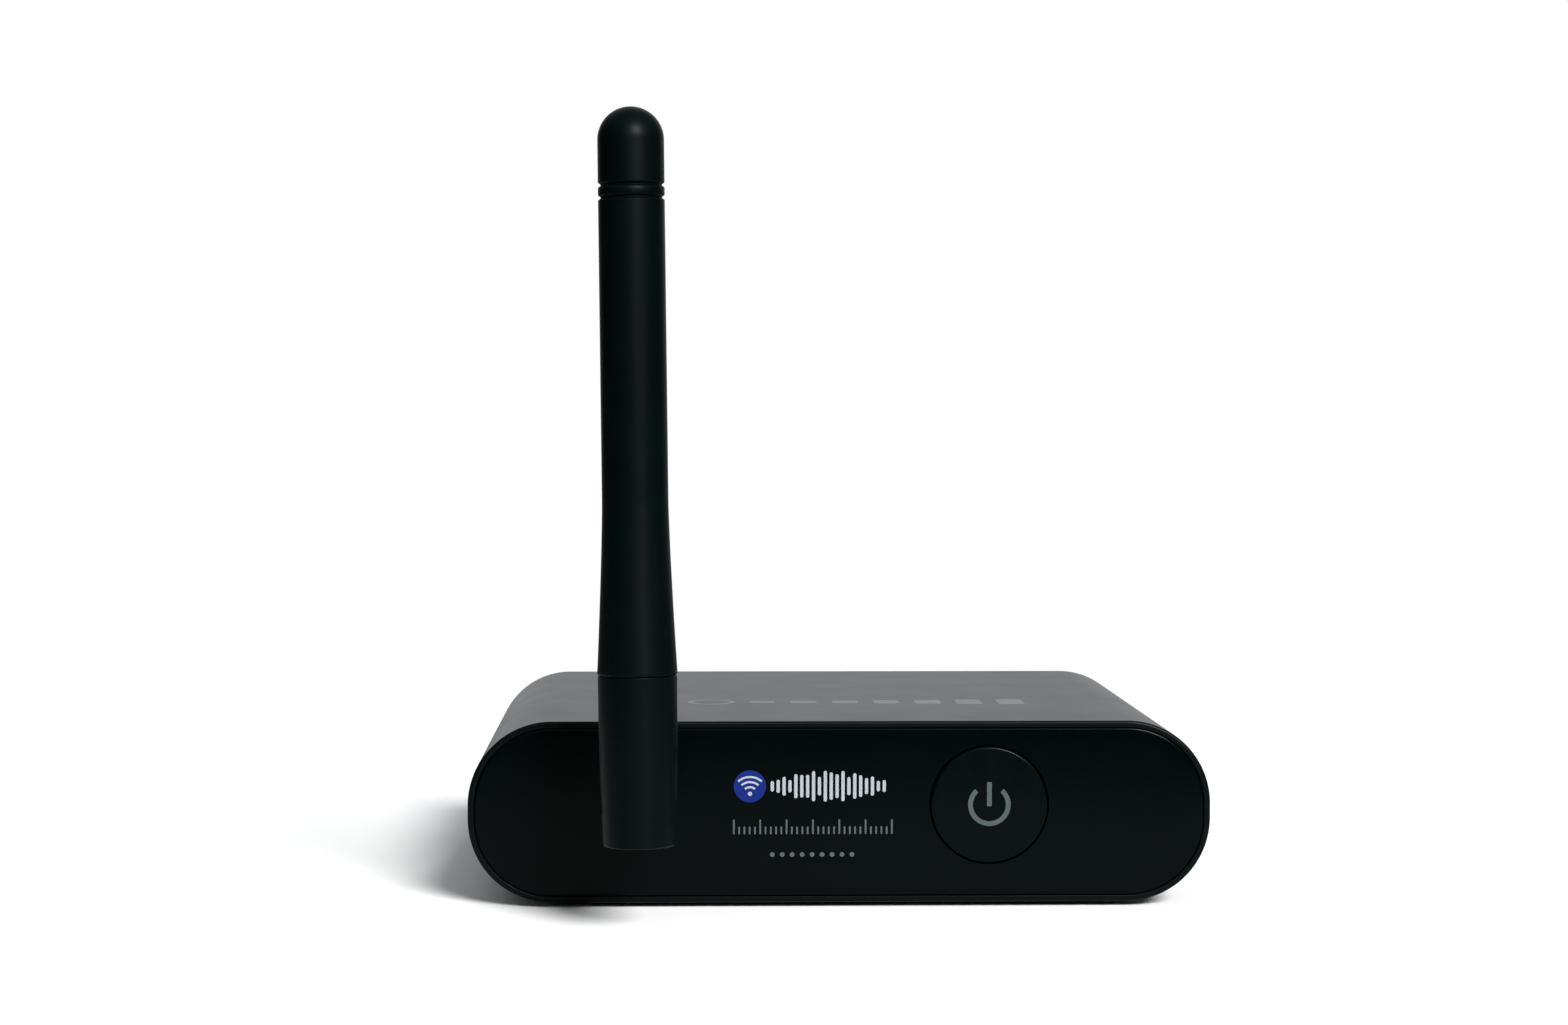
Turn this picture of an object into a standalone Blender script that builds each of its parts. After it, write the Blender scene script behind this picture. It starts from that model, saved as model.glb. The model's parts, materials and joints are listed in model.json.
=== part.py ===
"""Desktop wireless audio receiver with a tilting aerial, built as an assembly of separate pieces.

Run with: blender --background --python part.py

The receiver stands on the XY plane with +Z up, and +Y runs from the front panel to the rear sockets.
Every length below is in millimetres; Y is measured from the face of the case's front rim and Z from
the table. The front_datum empty carries the whole receiver to its place about the world origin, which
is the middle of the foot of its bounding box. Meshes are made in millimetres and scaled to metres.
"""

import math

import bmesh
import bpy
from mathutils import Matrix, Vector

MM = 0.001

# ---------------------------------------------------------------- driving dimensions, millimetres
CASE_WIDTH = 95.0
CASE_HEIGHT = 23.2
CASE_DEPTH = 75.0
END_RADIUS = 10.7
WALL = 1.8
RIM = 0.8
CASE_CHAMFER = 0.3
FOOT_HEIGHT = 0.6
CASE_MID_Z = FOOT_HEIGHT + CASE_HEIGHT / 2

FIT_GAP = 0.05
PANEL_GAP = 0.1
MOVING_GAP = 0.3

PANEL_THICKNESS = 2.0
PANEL_CHAMFER = 0.25
CARRIER_THICKNESS = 2.0
FRONT_SEAT_Y = PANEL_THICKNESS + PANEL_GAP
REAR_SEAT_Y = CASE_DEPTH - PANEL_THICKNESS - PANEL_GAP
CARRIER_Y = FRONT_SEAT_Y + FIT_GAP

# The power button and the switch behind it
BUTTON_X, BUTTON_Z = 19.05, 13.1
BUTTON_RADIUS = 7.4
BUTTON_PROUD = 0.3
BUTTON_TRAVEL = 0.5
BUTTON_WEB_BACK_Y = 1.6
GUIDE_RADIUS = 8.7
GUIDE_END_Y = 9.0
ICON_RADIUS = 2.42
ICON_STROKE = 0.62
ICON_GAP_DEG = 42.0
ICON_BAR_LOW, ICON_BAR_HIGH = -0.2, 2.9
SWITCH_TIP_Y = 11.7
SWITCH_FRONT_Y, SWITCH_BACK_Y = 13.2, 16.9

# The aerial; its heights are measured up from the hinge pin
AERIAL_X, CONNECTOR_Z = -25.44, 15.7
HINGE_Y = -22.0
AERIAL_LEAN_DEG = 0.72
AERIAL_FOOT = -4.6
AERIAL_SEAM = 16.0
FLARE_TOP = 37.0
GROOVE_HEIGHTS = (73.3, 74.8)
AERIAL_TIP = 84.2
FOOT_RADIUS = 4.42
SEAM_RADIUS = 4.85
MAST_RADIUS = 4.0
SPIGOT_RADIUS = 3.5
SPIGOT_TOP = AERIAL_SEAM + 6.0
COAX_TOP = 53.0
TONGUE_RADIUS = 2.6
TONGUE_WIDTH = 4.0
PIN_RADIUS = 1.0

# The aerial's connector: jack on the case, plug and coupling nut on the aerial
THREAD_RADIUS = 3.175
THREAD_END_Y = -8.0
JACK_FLANGE_Y = CARRIER_Y + CARRIER_THICKNESS + FIT_GAP
JACK_TAIL_Y = JACK_FLANGE_Y + 5.0
NUT_RADIUS = 4.6
NUT_FRONT_Y, NUT_BACK_Y = -11.2, -3.2
NUT_COLLAR_Y = -9.5
PLUG_FACE_Y, PLUG_END_Y = THREAD_END_Y - 0.1, -15.5
PLUG_BARREL_RADIUS = 2.75
KNUCKLE_START_Y = NUT_FRONT_Y - 0.15
SHOULDER_Y = HINGE_Y - AERIAL_FOOT + 0.35

# The circuit board
BOARD_BOTTOM_Z, BOARD_TOP_Z = 7.4, 9.0
BOARD_HALF_WIDTH = 44.0
BOARD_FRONT_Y, BOARD_REAR_Y = 12.0, 72.4
ON_BOARD_Z = BOARD_TOP_Z + FIT_GAP

# The rear sockets
SOCKET_Z = 15.2
SOCKET_FRONT_Y = REAR_SEAT_Y - PANEL_GAP
PHONO_XS = {"left": -25.0, "right": -11.0}
PHONO_END_Y = CASE_DEPTH + 9.0
PHONO_RADIUS = 4.15
POWER_JACK_X = 31.0
POWER_NOSE_RADIUS = 4.0
OPTICAL_X = 14.0
OPTICAL_HALF_WIDTH = 4.9
OPTICAL_TOP_Z = 20.1
SHUTTER_Y, SHUTTER_Z = 74.25, 18.85

REAR_SCREW_X, REAR_SCREW_Z = 42.2, 17.4
FOOT_X, FOOT_FRONT_Y, FOOT_REAR_Y = 32.5, 10.0, 65.0

# The aerial reaches out in front and the phono sockets behind; the world origin lies midway.
AERIAL_REACH_Y = HINGE_Y - SEAM_RADIUS
FRONT_FACE_Y = -(AERIAL_REACH_Y + PHONO_END_Y) / 2

FINE_ROUND = 36
ROUND = 24
SMALL_ROUND = 16
TINY_ROUND = 12
CORNER_STEPS = 8
SHARP_ANGLE = math.radians(30)


# ---------------------------------------------------------------- outlines and solids, millimetres
def circle(radius, height, segments=ROUND):
    """A ring of points about the local Z axis."""
    turns = (math.tau * i / segments for i in range(segments))
    return [(radius * math.cos(t), radius * math.sin(t), height) for t in turns]


def arc(radius, start_deg, end_deg, steps):
    """Pairs along an arc about zero, with angles measured from the first axis towards the second."""
    angles = (math.radians(start_deg + (end_deg - start_deg) * i / steps) for i in range(steps + 1))
    return [(radius * math.cos(a), radius * math.sin(a)) for a in angles]


def case_outline(inset, y):
    """The case's cross-section, a rectangle with nearly half-round ends, drawn in by the inset."""
    half_width = CASE_WIDTH / 2 - inset
    half_height = CASE_HEIGHT / 2 - inset
    radius = END_RADIUS - inset
    points = []
    for corner, (side, up) in enumerate(((1, 1), (-1, 1), (-1, -1), (1, -1))):
        centre_x = side * (half_width - radius)
        centre_z = CASE_MID_Z + up * (half_height - radius)
        for x, z in arc(radius, 90 * corner, 90 * (corner + 1), CORNER_STEPS):
            points.append((centre_x + x, y, centre_z + z))
    return points


def loft(rings, closed=False):
    """A solid through rings of equally many points: capped at both ends, or closed into a loop of rings."""
    bm = bmesh.new()
    made = [[bm.verts.new(point) for point in ring] for ring in rings]
    pairs = list(zip(made, made[1:]))
    if closed:
        pairs.append((made[-1], made[0]))
    else:
        bm.faces.new(made[0])
        bm.faces.new(made[-1])
    for low, high in pairs:
        count = len(low)
        for i in range(count):
            j = (i + 1) % count
            bm.faces.new((low[i], low[j], high[j], high[i]))
    bmesh.ops.recalc_face_normals(bm, faces=bm.faces)
    return bm


def laid_along_y(bm):
    """Turns a solid made about the local Z axis so that its heights run along +Y."""
    bmesh.ops.transform(bm, matrix=Matrix.Rotation(-math.pi / 2, 4, "X"), verts=bm.verts)
    return bm


def turned(profile, segments=ROUND, closed=False):
    """A turned solid about the local Z axis from (radius, height) pairs; a closed one is a tube."""
    return loft([circle(radius, height, segments) for radius, height in profile], closed)


def turned_along_y(profile, segments=ROUND, closed=False):
    """A turned solid about the local Y axis; each height is a distance along +Y."""
    return laid_along_y(turned(profile, segments, closed))


def turned_along_x(profile, segments=ROUND):
    """A turned solid about the local X axis; each height is a distance along +X."""
    bm = turned(profile, segments)
    bmesh.ops.transform(bm, matrix=Matrix.Rotation(math.pi / 2, 4, "Y"), verts=bm.verts)
    return bm


def rod_along_y(radius, start, end, segments=ROUND):
    return turned_along_y([(radius, start), (radius, end)], segments)


def tube_along_y(inner, outer, start, end, segments=ROUND):
    profile = [(inner, start), (outer, start), (outer, end), (inner, end)]
    return turned_along_y(profile, segments, closed=True)


def prism_along_y(outline, start, end):
    """A straight solid between two Y planes from an outline of (x, z) points."""
    return loft([[(x, y, z) for x, z in outline] for y in (start, end)])


def prism_along_x(outline, start, end):
    """A straight solid between two X planes from an outline of (y, z) points."""
    return loft([[(x, y, z) for y, z in outline] for x in (start, end)])


def block(low, high):
    """A box from its lowest to its highest corner."""
    (x0, y0, z0), (x1, y1, z1) = low, high
    return prism_along_y([(x0, z0), (x1, z0), (x1, z1), (x0, z1)], y0, y1)


# ---------------------------------------------------------------- objects and materials
def clear_scene():
    for obj in list(bpy.data.objects):
        bpy.data.objects.remove(obj)


def make_material(name, colour, roughness, metallic=0.0):
    material = bpy.data.materials.new(name)
    material.use_nodes = True
    shader = material.node_tree.nodes["Principled BSDF"]
    shader.inputs["Base Color"].default_value = (*colour, 1.0)
    shader.inputs["Roughness"].default_value = roughness
    shader.inputs["Metallic"].default_value = metallic
    return material


def make_materials():
    plastics = {
        "case_plastic": ((0.012, 0.013, 0.014), 0.28),
        "panel_acrylic": ((0.004, 0.006, 0.006), 0.06),
        "button_plastic": ((0.006, 0.008, 0.008), 0.18),
        "icon_plastic": ((0.36, 0.42, 0.41), 0.4),
        "carrier_plastic": ((0.02, 0.02, 0.02), 0.6),
        "aerial_plastic": ((0.016, 0.019, 0.019), 0.5),
        "foot_rubber": ((0.02, 0.02, 0.02), 0.85),
        "board_laminate": ((0.02, 0.13, 0.06), 0.45),
        "chip_epoxy": ((0.02, 0.02, 0.022), 0.5),
        "socket_plastic": ((0.015, 0.015, 0.016), 0.5),
        "phono_white": ((0.85, 0.85, 0.83), 0.35),
        "phono_red": ((0.62, 0.02, 0.02), 0.35),
        "insulator": ((0.9, 0.89, 0.85), 0.4),
        "lens_red": ((0.5, 0.02, 0.02), 0.2),
        "led_clear": ((0.75, 0.8, 0.9), 0.15),
        "cable_jacket": ((0.03, 0.03, 0.03), 0.5),
    }
    metals = {
        "nickel": ((0.66, 0.65, 0.62), 0.25),
        "gold": ((0.83, 0.61, 0.25), 0.25),
        "brass": ((0.72, 0.55, 0.27), 0.35),
        "tin": ((0.7, 0.71, 0.72), 0.35),
        "steel": ((0.35, 0.35, 0.36), 0.35),
    }
    made = {name: make_material(name, *look) for name, look in plastics.items()}
    made.update({name: make_material(name, *look, metallic=1.0) for name, look in metals.items()})
    return made


def make_datum(name, location, parent=None):
    """An empty that pieces hang on; a moving piece's lies on its joint's axis."""
    empty = bpy.data.objects.new(name, None)
    bpy.context.scene.collection.objects.link(empty)
    empty.location = Vector(location) * MM
    empty.parent = parent
    return empty


def add_object(name, bm, parent, location=(0.0, 0.0, 0.0)):
    bmesh.ops.scale(bm, vec=(MM, MM, MM), verts=bm.verts)
    mesh = bpy.data.meshes.new(name)
    bm.to_mesh(mesh)
    bm.free()
    obj = bpy.data.objects.new(name, mesh)
    bpy.context.scene.collection.objects.link(obj)
    obj.parent = parent
    obj.location = Vector(location) * MM
    return obj


def add_piece(name, bm, material, parent, location=(0.0, 0.0, 0.0)):
    obj = add_object(name, bm, parent, location)
    obj.data.materials.append(material)
    obj.data.shade_smooth()
    obj.data.set_sharp_from_angle(angle=SHARP_ANGLE)
    return obj


def combine(piece, operation, bm, location=(0.0, 0.0, 0.0)):
    """Cuts a solid from a piece, or joins it on, with a Boolean whose other solid is a hidden helper."""
    number = len(piece.modifiers) + 1
    helper = add_object(f"{piece.name}.helper_{number}", bm, piece.parent, location)
    helper.hide_render = True
    helper.display_type = "WIRE"
    modifier = piece.modifiers.new(f"{operation.lower()}_{number}", "BOOLEAN")
    modifier.operation = operation
    modifier.object = helper


def cut(piece, bm, location=(0.0, 0.0, 0.0)):
    combine(piece, "DIFFERENCE", bm, location)


def join(piece, bm, location=(0.0, 0.0, 0.0)):
    combine(piece, "UNION", bm, location)


# ---------------------------------------------------------------- case
def make_sleeve(datum, plastic):
    """The one-piece outer sleeve, with a seat for a panel at each end, board rails and two screw bosses."""
    rings = [
        case_outline(CASE_CHAMFER, 0.0),
        case_outline(0.0, CASE_CHAMFER),
        case_outline(0.0, CASE_DEPTH - CASE_CHAMFER),
        case_outline(CASE_CHAMFER, CASE_DEPTH),
        case_outline(RIM, CASE_DEPTH),
        case_outline(RIM, REAR_SEAT_Y),
        case_outline(WALL, REAR_SEAT_Y),
        case_outline(WALL, FRONT_SEAT_Y),
        case_outline(RIM, FRONT_SEAT_Y),
        case_outline(RIM, 0.0),
    ]
    sleeve = add_piece("case_sleeve", loft(rings, closed=True), plastic, datum)
    rail_inner, rail_outer = BOARD_HALF_WIDTH - 1.6, CASE_WIDTH / 2 - 2.1
    rail_height = 1.2
    rail_end = REAR_SEAT_Y - 8.0
    for side in (-1, 1):
        x0, x1 = sorted((side * rail_inner, side * rail_outer))
        for low in (BOARD_BOTTOM_Z - PANEL_GAP - rail_height, BOARD_TOP_Z + PANEL_GAP):
            join(sleeve, block((x0, BOARD_FRONT_Y, low), (x1, rail_end, low + rail_height)))
    boss_radius, boss_start, boss_floor = 2.6, REAR_SEAT_Y - 9.0, 1.0
    pilot_radius = 1.1
    for side in (-1, 1):
        place = (side * REAR_SCREW_X, 0.0, REAR_SCREW_Z)
        join(sleeve, rod_along_y(boss_radius, boss_start, REAR_SEAT_Y - FIT_GAP, SMALL_ROUND), place)
        cut(sleeve, rod_along_y(pilot_radius, boss_start + boss_floor, CASE_DEPTH, SMALL_ROUND), place)


def make_front_panel(datum, acrylic):
    """The glossy plate let into the front rim, with the button's and the aerial connector's holes."""
    edge = RIM + FIT_GAP
    rings = [
        case_outline(edge + PANEL_CHAMFER, 0.0),
        case_outline(edge, PANEL_CHAMFER),
        case_outline(edge, PANEL_THICKNESS),
    ]
    panel = add_piece("front_panel", loft(rings), acrylic, datum)
    cut_front_holes(panel, -1.0, PANEL_THICKNESS + 1.0)


def cut_front_holes(piece, start, end):
    button_place = (BUTTON_X, 0.0, BUTTON_Z)
    connector_place = (AERIAL_X, 0.0, CONNECTOR_Z)
    cut(piece, rod_along_y(BUTTON_RADIUS + MOVING_GAP, start, end, FINE_ROUND), button_place)
    cut(piece, rod_along_y(THREAD_RADIUS + 0.2, start, end, SMALL_ROUND), connector_place)


def make_front_carrier(datum, plastic):
    """The frame behind the front panel, with the button's guide tube and a hole for the connector."""
    edge = WALL + PANEL_GAP
    rings = [case_outline(edge, CARRIER_Y), case_outline(edge, CARRIER_Y + CARRIER_THICKNESS)]
    carrier = add_piece("front_carrier", loft(rings), plastic, datum)
    guide = rod_along_y(GUIDE_RADIUS, CARRIER_Y + CARRIER_THICKNESS / 2, GUIDE_END_Y, FINE_ROUND)
    join(carrier, guide, (BUTTON_X, 0.0, BUTTON_Z))
    cut_front_holes(carrier, 0.0, GUIDE_END_Y + 1.0)


def make_rear_panel(datum, plastic):
    """The rear plate, cut out for each socket and for the two screws."""
    edge = RIM + FIT_GAP
    hole_gap = 0.15
    screw_hole_radius = 1.4
    rings = [
        case_outline(edge, REAR_SEAT_Y + FIT_GAP),
        case_outline(edge, CASE_DEPTH - PANEL_CHAMFER),
        case_outline(edge + PANEL_CHAMFER, CASE_DEPTH),
    ]
    panel = add_piece("rear_panel", loft(rings), plastic, datum)
    low_y, high_y = REAR_SEAT_Y - 1.0, CASE_DEPTH + 1.0
    round_holes = [
        (PHONO_XS["left"], SOCKET_Z, PHONO_RADIUS + hole_gap),
        (PHONO_XS["right"], SOCKET_Z, PHONO_RADIUS + hole_gap),
        (POWER_JACK_X, SOCKET_Z, POWER_NOSE_RADIUS + hole_gap),
        (-REAR_SCREW_X, REAR_SCREW_Z, screw_hole_radius),
        (REAR_SCREW_X, REAR_SCREW_Z, screw_hole_radius),
    ]
    for x, z, radius in round_holes:
        cut(panel, rod_along_y(radius, low_y, high_y), (x, 0.0, z))
    reach = OPTICAL_HALF_WIDTH + hole_gap
    low = (OPTICAL_X - reach, low_y, ON_BOARD_Z - hole_gap)
    high = (OPTICAL_X + reach, high_y, OPTICAL_TOP_Z + hole_gap)
    cut(panel, block(low, high))


def make_rear_screws(datum, steel):
    """Two pan-head screws that hold the rear panel to the sleeve's bosses."""
    shank_radius, shank_length = 1.0, 8.5
    head_radius, head_height = 2.2, 1.3
    recess_length, recess_width, recess_depth = 2.4, 0.45, 0.8
    start = CASE_DEPTH + FIT_GAP
    top = start + head_height
    profile = [
        (shank_radius, start - shank_length),
        (shank_radius, start),
        (head_radius, start),
        (head_radius, start + head_height / 2),
        (0.7 * head_radius, top),
    ]
    for name, side in (("left", -1), ("right", 1)):
        place = (side * REAR_SCREW_X, 0.0, REAR_SCREW_Z)
        screw = add_piece(f"rear_screw_{name}", turned_along_y(profile, SMALL_ROUND), steel, datum, place)
        for x, z in ((recess_length / 2, recess_width / 2), (recess_width / 2, recess_length / 2)):
            cut(screw, block((-x, top - recess_depth, -z), (x, top + 1.0, z)), place)


def make_feet(datum, rubber):
    """Four round self-adhesive feet under the flat of the floor."""
    radius, edge = 4.0, 0.2
    profile = [(radius - edge, 0.0), (radius, edge), (radius, FOOT_HEIGHT - FIT_GAP)]
    for side_name, x in (("left", -FOOT_X), ("right", FOOT_X)):
        for end_name, y in (("front", FOOT_FRONT_Y), ("rear", FOOT_REAR_Y)):
            add_piece(f"foot_{end_name}_{side_name}", turned(profile), rubber, datum, (x, y, 0.0))


# ---------------------------------------------------------------- power button and its switch
def icon_ring(grow, start, end):
    """The open ring of the power symbol, between two Y planes and grown all round."""
    half = ICON_STROKE / 2 + grow
    spread = math.degrees(grow / ICON_RADIUS)
    first, last = 90 + ICON_GAP_DEG - spread, 450 - ICON_GAP_DEG + spread
    steps = 16
    outline = arc(ICON_RADIUS + half, first, last, steps) + arc(ICON_RADIUS - half, last, first, steps)
    return prism_along_y(outline, start, end)


def icon_bar(grow, start, end):
    """The upright stroke of the power symbol."""
    half = ICON_STROKE / 2 + grow
    return block((-half, start, ICON_BAR_LOW - grow), (half, end, ICON_BAR_HIGH + grow))


def make_button(slide, plastic, icon_plastic):
    """The round cap with its skirt and retaining flange, and the light guide that shows the symbol.

    The light guide's stem is what pushes the switch."""
    skirt_inner, flange_radius, edge = 6.2, 8.5, 0.3
    face = -BUTTON_PROUD
    flange_start, flange_end = GUIDE_END_Y + FIT_GAP, GUIDE_END_Y + 1.0
    cap_profile = [
        (BUTTON_RADIUS - edge, face),
        (BUTTON_RADIUS, face + edge),
        (BUTTON_RADIUS, flange_start),
        (flange_radius, flange_start),
        (flange_radius, flange_end),
        (skirt_inner, flange_end),
        (skirt_inner, BUTTON_WEB_BACK_Y),
    ]
    cap = add_piece("power_button", turned_along_y(cap_profile, FINE_ROUND), plastic, slide)
    disc_radius, stem_radius = 4.2, 1.5
    disc_start, disc_end = BUTTON_WEB_BACK_Y + FIT_GAP, BUTTON_WEB_BACK_Y + 1.4
    guide_profile = [
        (disc_radius, disc_start),
        (disc_radius, disc_end),
        (stem_radius + 1.0, disc_end),
        (stem_radius, disc_end + 1.2),
        (stem_radius, SWITCH_TIP_Y - PANEL_GAP),
    ]
    guide = add_piece("button_light_guide", turned_along_y(guide_profile), icon_plastic, slide)
    for shape in (icon_ring, icon_bar):
        cut(cap, shape(FIT_GAP, face - 1.0, BUTTON_WEB_BACK_Y + 1.0))
        join(guide, shape(0.0, face, disc_start + 0.4))


def make_switch(datum, slide, plastic, plunger_plastic, metal):
    """The side-push switch behind the button: housing, moving plunger and the fixed snap-dome plate."""
    half, bore_radius, bore_end = 3.1, 1.85, SWITCH_BACK_Y - 0.8
    plunger_radius, dome_radius, dome_thickness = 1.75, 1.6, 0.2
    place = (BUTTON_X, 0.0, BUTTON_Z)
    low = (BUTTON_X - half, SWITCH_FRONT_Y, ON_BOARD_Z)
    high = (BUTTON_X + half, SWITCH_BACK_Y, BUTTON_Z + half)
    housing = add_piece("switch_housing", block(low, high), plastic, datum)
    cut(housing, rod_along_y(bore_radius, SWITCH_FRONT_Y - 1.0, bore_end, SMALL_ROUND), place)
    plunger = [
        (plunger_radius - 0.25, SWITCH_TIP_Y),
        (plunger_radius, SWITCH_TIP_Y + 0.25),
        (plunger_radius, bore_end - BUTTON_TRAVEL - 0.4),
    ]
    add_piece("switch_plunger", turned_along_y(plunger, SMALL_ROUND), plunger_plastic, slide)
    dome_end = bore_end - FIT_GAP
    dome = rod_along_y(dome_radius, dome_end - dome_thickness, dome_end, SMALL_ROUND)
    add_piece("switch_dome", dome, metal, datum, place)


def make_power_led(datum, clear_plastic):
    """The lamp beside the switch, on its side, which lights the guide."""
    lens_radius, flange_radius = 1.5, 1.9
    place = (BUTTON_X - 5.2, 0.0, ON_BOARD_Z + flange_radius)
    profile = [
        (0.8, 13.9),
        (lens_radius, 14.6),
        (lens_radius, 16.4),
        (flange_radius, 16.4),
        (flange_radius, 17.2),
    ]
    add_piece("power_led", turned_along_y(profile, SMALL_ROUND), clear_plastic, datum, place)


# ---------------------------------------------------------------- the jack in the front panel
def make_jack(datum, materials):
    """The bulkhead jack in the front panel: barrel, insulator and contact."""
    place = (AERIAL_X, 0.0, CONNECTOR_Z)
    bore_radius, flange_radius, tail_radius, tail_bore = 2.3, NUT_RADIUS, 1.9, 0.7
    flange_end = JACK_FLANGE_Y + 1.8
    lead_in = 0.2
    barrel_profile = [
        (bore_radius, THREAD_END_Y),
        (THREAD_RADIUS - lead_in, THREAD_END_Y),
        (THREAD_RADIUS, THREAD_END_Y + lead_in),
        (THREAD_RADIUS, JACK_FLANGE_Y),
        (flange_radius, JACK_FLANGE_Y),
        (flange_radius, flange_end),
        (tail_radius, flange_end),
        (tail_radius, JACK_TAIL_Y),
        (tail_bore, JACK_TAIL_Y),
        (tail_bore, flange_end + 0.2),
        (bore_radius, flange_end - 0.8),
    ]
    barrel = turned_along_y(barrel_profile, closed=True)
    add_piece("jack_barrel", barrel, materials["gold"], datum, place)
    insulator_start, insulator_end = THREAD_END_Y + 3.6, JACK_FLANGE_Y + 0.6
    insulator = tube_along_y(0.75, bore_radius - 0.08, insulator_start, insulator_end, SMALL_ROUND)
    add_piece("jack_insulator", insulator, materials["insulator"], datum, place)
    contact_radius, tail_wire_radius = 0.65, 0.25
    contact_profile = [
        (contact_radius, insulator_start + 0.3),
        (contact_radius, insulator_end + 0.8),
        (tail_wire_radius, insulator_end + 0.8),
        (tail_wire_radius, insulator_end + 1.2),
    ]
    contact = turned_along_y(contact_profile, SMALL_ROUND)
    add_piece("jack_contact", contact, materials["brass"], datum, place)


def make_jack_fixings(datum, materials):
    """The lock washer and the hexagon nut that clamp the jack against the front panel."""
    place = (AERIAL_X, 0.0, CONNECTOR_Z)
    bore_radius = THREAD_RADIUS + 0.1
    washer_start, nut_end, nut_start = -0.55, -0.6, -2.85
    across_flats = 8.0
    washer = tube_along_y(bore_radius, NUT_RADIUS, washer_start, -FIT_GAP)
    add_piece("jack_lock_washer", washer, materials["nickel"], datum, place)
    hexagon = rod_along_y(across_flats / math.sqrt(3), nut_start, nut_end, 6)
    nut = add_piece("jack_hex_nut", hexagon, materials["gold"], datum, place)
    cut(nut, rod_along_y(bore_radius, nut_start - 1.0, nut_end + 1.0), place)


# ---------------------------------------------------------------- the aerial's plug and nut
def ribbed_ring(radius, depth, ribs, height):
    """A ring of points that alternates between two radii, for moulded grip ribs."""
    points = []
    for i in range(2 * ribs):
        reach = radius if i % 2 else radius - depth
        angle = math.pi * i / ribs
        points.append((reach * math.cos(angle), reach * math.sin(angle), height))
    return points


def make_coupling_nut(turn, materials):
    """The ribbed nut of the aerial's plug and the brass thread moulded into it."""
    ribs, rib_depth, edge = 22, 0.3, 0.4
    rings = [
        ribbed_ring(NUT_RADIUS - edge, 0.0, ribs, NUT_FRONT_Y),
        ribbed_ring(NUT_RADIUS, rib_depth, ribs, NUT_FRONT_Y + edge),
        ribbed_ring(NUT_RADIUS, rib_depth, ribs, NUT_BACK_Y - edge),
        ribbed_ring(NUT_RADIUS - edge, 0.0, ribs, NUT_BACK_Y),
    ]
    nut = add_piece("coupling_nut", laid_along_y(loft(rings)), materials["aerial_plastic"], turn)
    collar_radius, insert_radius = PLUG_BARREL_RADIUS + 0.2, 3.9
    bore_profile = [
        (collar_radius, NUT_FRONT_Y - 1.0),
        (collar_radius, NUT_COLLAR_Y),
        (insert_radius + FIT_GAP, NUT_COLLAR_Y),
        (insert_radius + FIT_GAP, NUT_BACK_Y + 1.0),
    ]
    cut(nut, turned_along_y(bore_profile))
    insert_start, insert_end = NUT_COLLAR_Y + FIT_GAP, NUT_BACK_Y - 0.2
    insert = tube_along_y(THREAD_RADIUS + 0.1, insert_radius, insert_start, insert_end)
    add_piece("nut_thread_insert", insert, materials["brass"], turn)


def make_plug(slide, materials):
    """The plug's barrel, which the nut pulls up to the jack, with its insulator and centre pin."""
    bore_radius, insulator_radius, pin_radius = 1.95, 1.9, 0.45
    rim_radius, rim_end = PLUG_BARREL_RADIUS + 0.35, NUT_COLLAR_Y + 0.15
    barrel_profile = [
        (bore_radius, PLUG_FACE_Y),
        (rim_radius, PLUG_FACE_Y),
        (rim_radius, rim_end),
        (PLUG_BARREL_RADIUS, rim_end - 0.1),
        (PLUG_BARREL_RADIUS, PLUG_END_Y),
        (bore_radius, PLUG_END_Y),
    ]
    barrel = turned_along_y(barrel_profile, closed=True)
    add_piece("plug_barrel", barrel, materials["gold"], slide)
    insulator = tube_along_y(pin_radius + 0.1, insulator_radius, PLUG_END_Y, PLUG_FACE_Y, SMALL_ROUND)
    add_piece("plug_insulator", insulator, materials["insulator"], slide)
    pin_reach = 2.6
    pin_profile = [
        (0.2, THREAD_END_Y + pin_reach),
        (pin_radius, THREAD_END_Y + pin_reach - 0.4),
        (pin_radius, PLUG_END_Y),
    ]
    add_piece("plug_pin", turned_along_y(pin_profile, SMALL_ROUND), materials["brass"], slide)


# ---------------------------------------------------------------- the aerial's hinge and mast
def make_knuckle(swivel, plastic):
    """The elbow that swivels on the plug's barrel and carries the tilt hinge on its tongue.

    It hangs on the swivel datum, whose origin is on the connector's axis at the hinge."""
    start, shoulder = KNUCKLE_START_Y - HINGE_Y, SHOULDER_Y - HINGE_Y
    edge, overlap = 0.3, 1.0
    body = [
        (NUT_RADIUS - edge, start),
        (NUT_RADIUS, start - edge),
        (NUT_RADIUS, shoulder + edge),
        (NUT_RADIUS - edge, shoulder),
    ]
    knuckle = add_piece("aerial_knuckle", turned_along_y(body), plastic, swivel)
    root = shoulder + overlap
    outline = arc(TONGUE_RADIUS, 90, 270, 14) + [(root, -TONGUE_RADIUS), (root, TONGUE_RADIUS)]
    join(knuckle, prism_along_x(outline, -TONGUE_WIDTH / 2, TONGUE_WIDTH / 2))
    pin_hole = [(PIN_RADIUS + FIT_GAP, -TONGUE_WIDTH), (PIN_RADIUS + FIT_GAP, TONGUE_WIDTH)]
    cut(knuckle, turned_along_x(pin_hole, SMALL_ROUND))
    barrel_end = PLUG_END_Y - HINGE_Y - PANEL_GAP
    cut(knuckle, rod_along_y(PLUG_BARREL_RADIUS + 0.1, barrel_end, start + 1.0))


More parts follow.
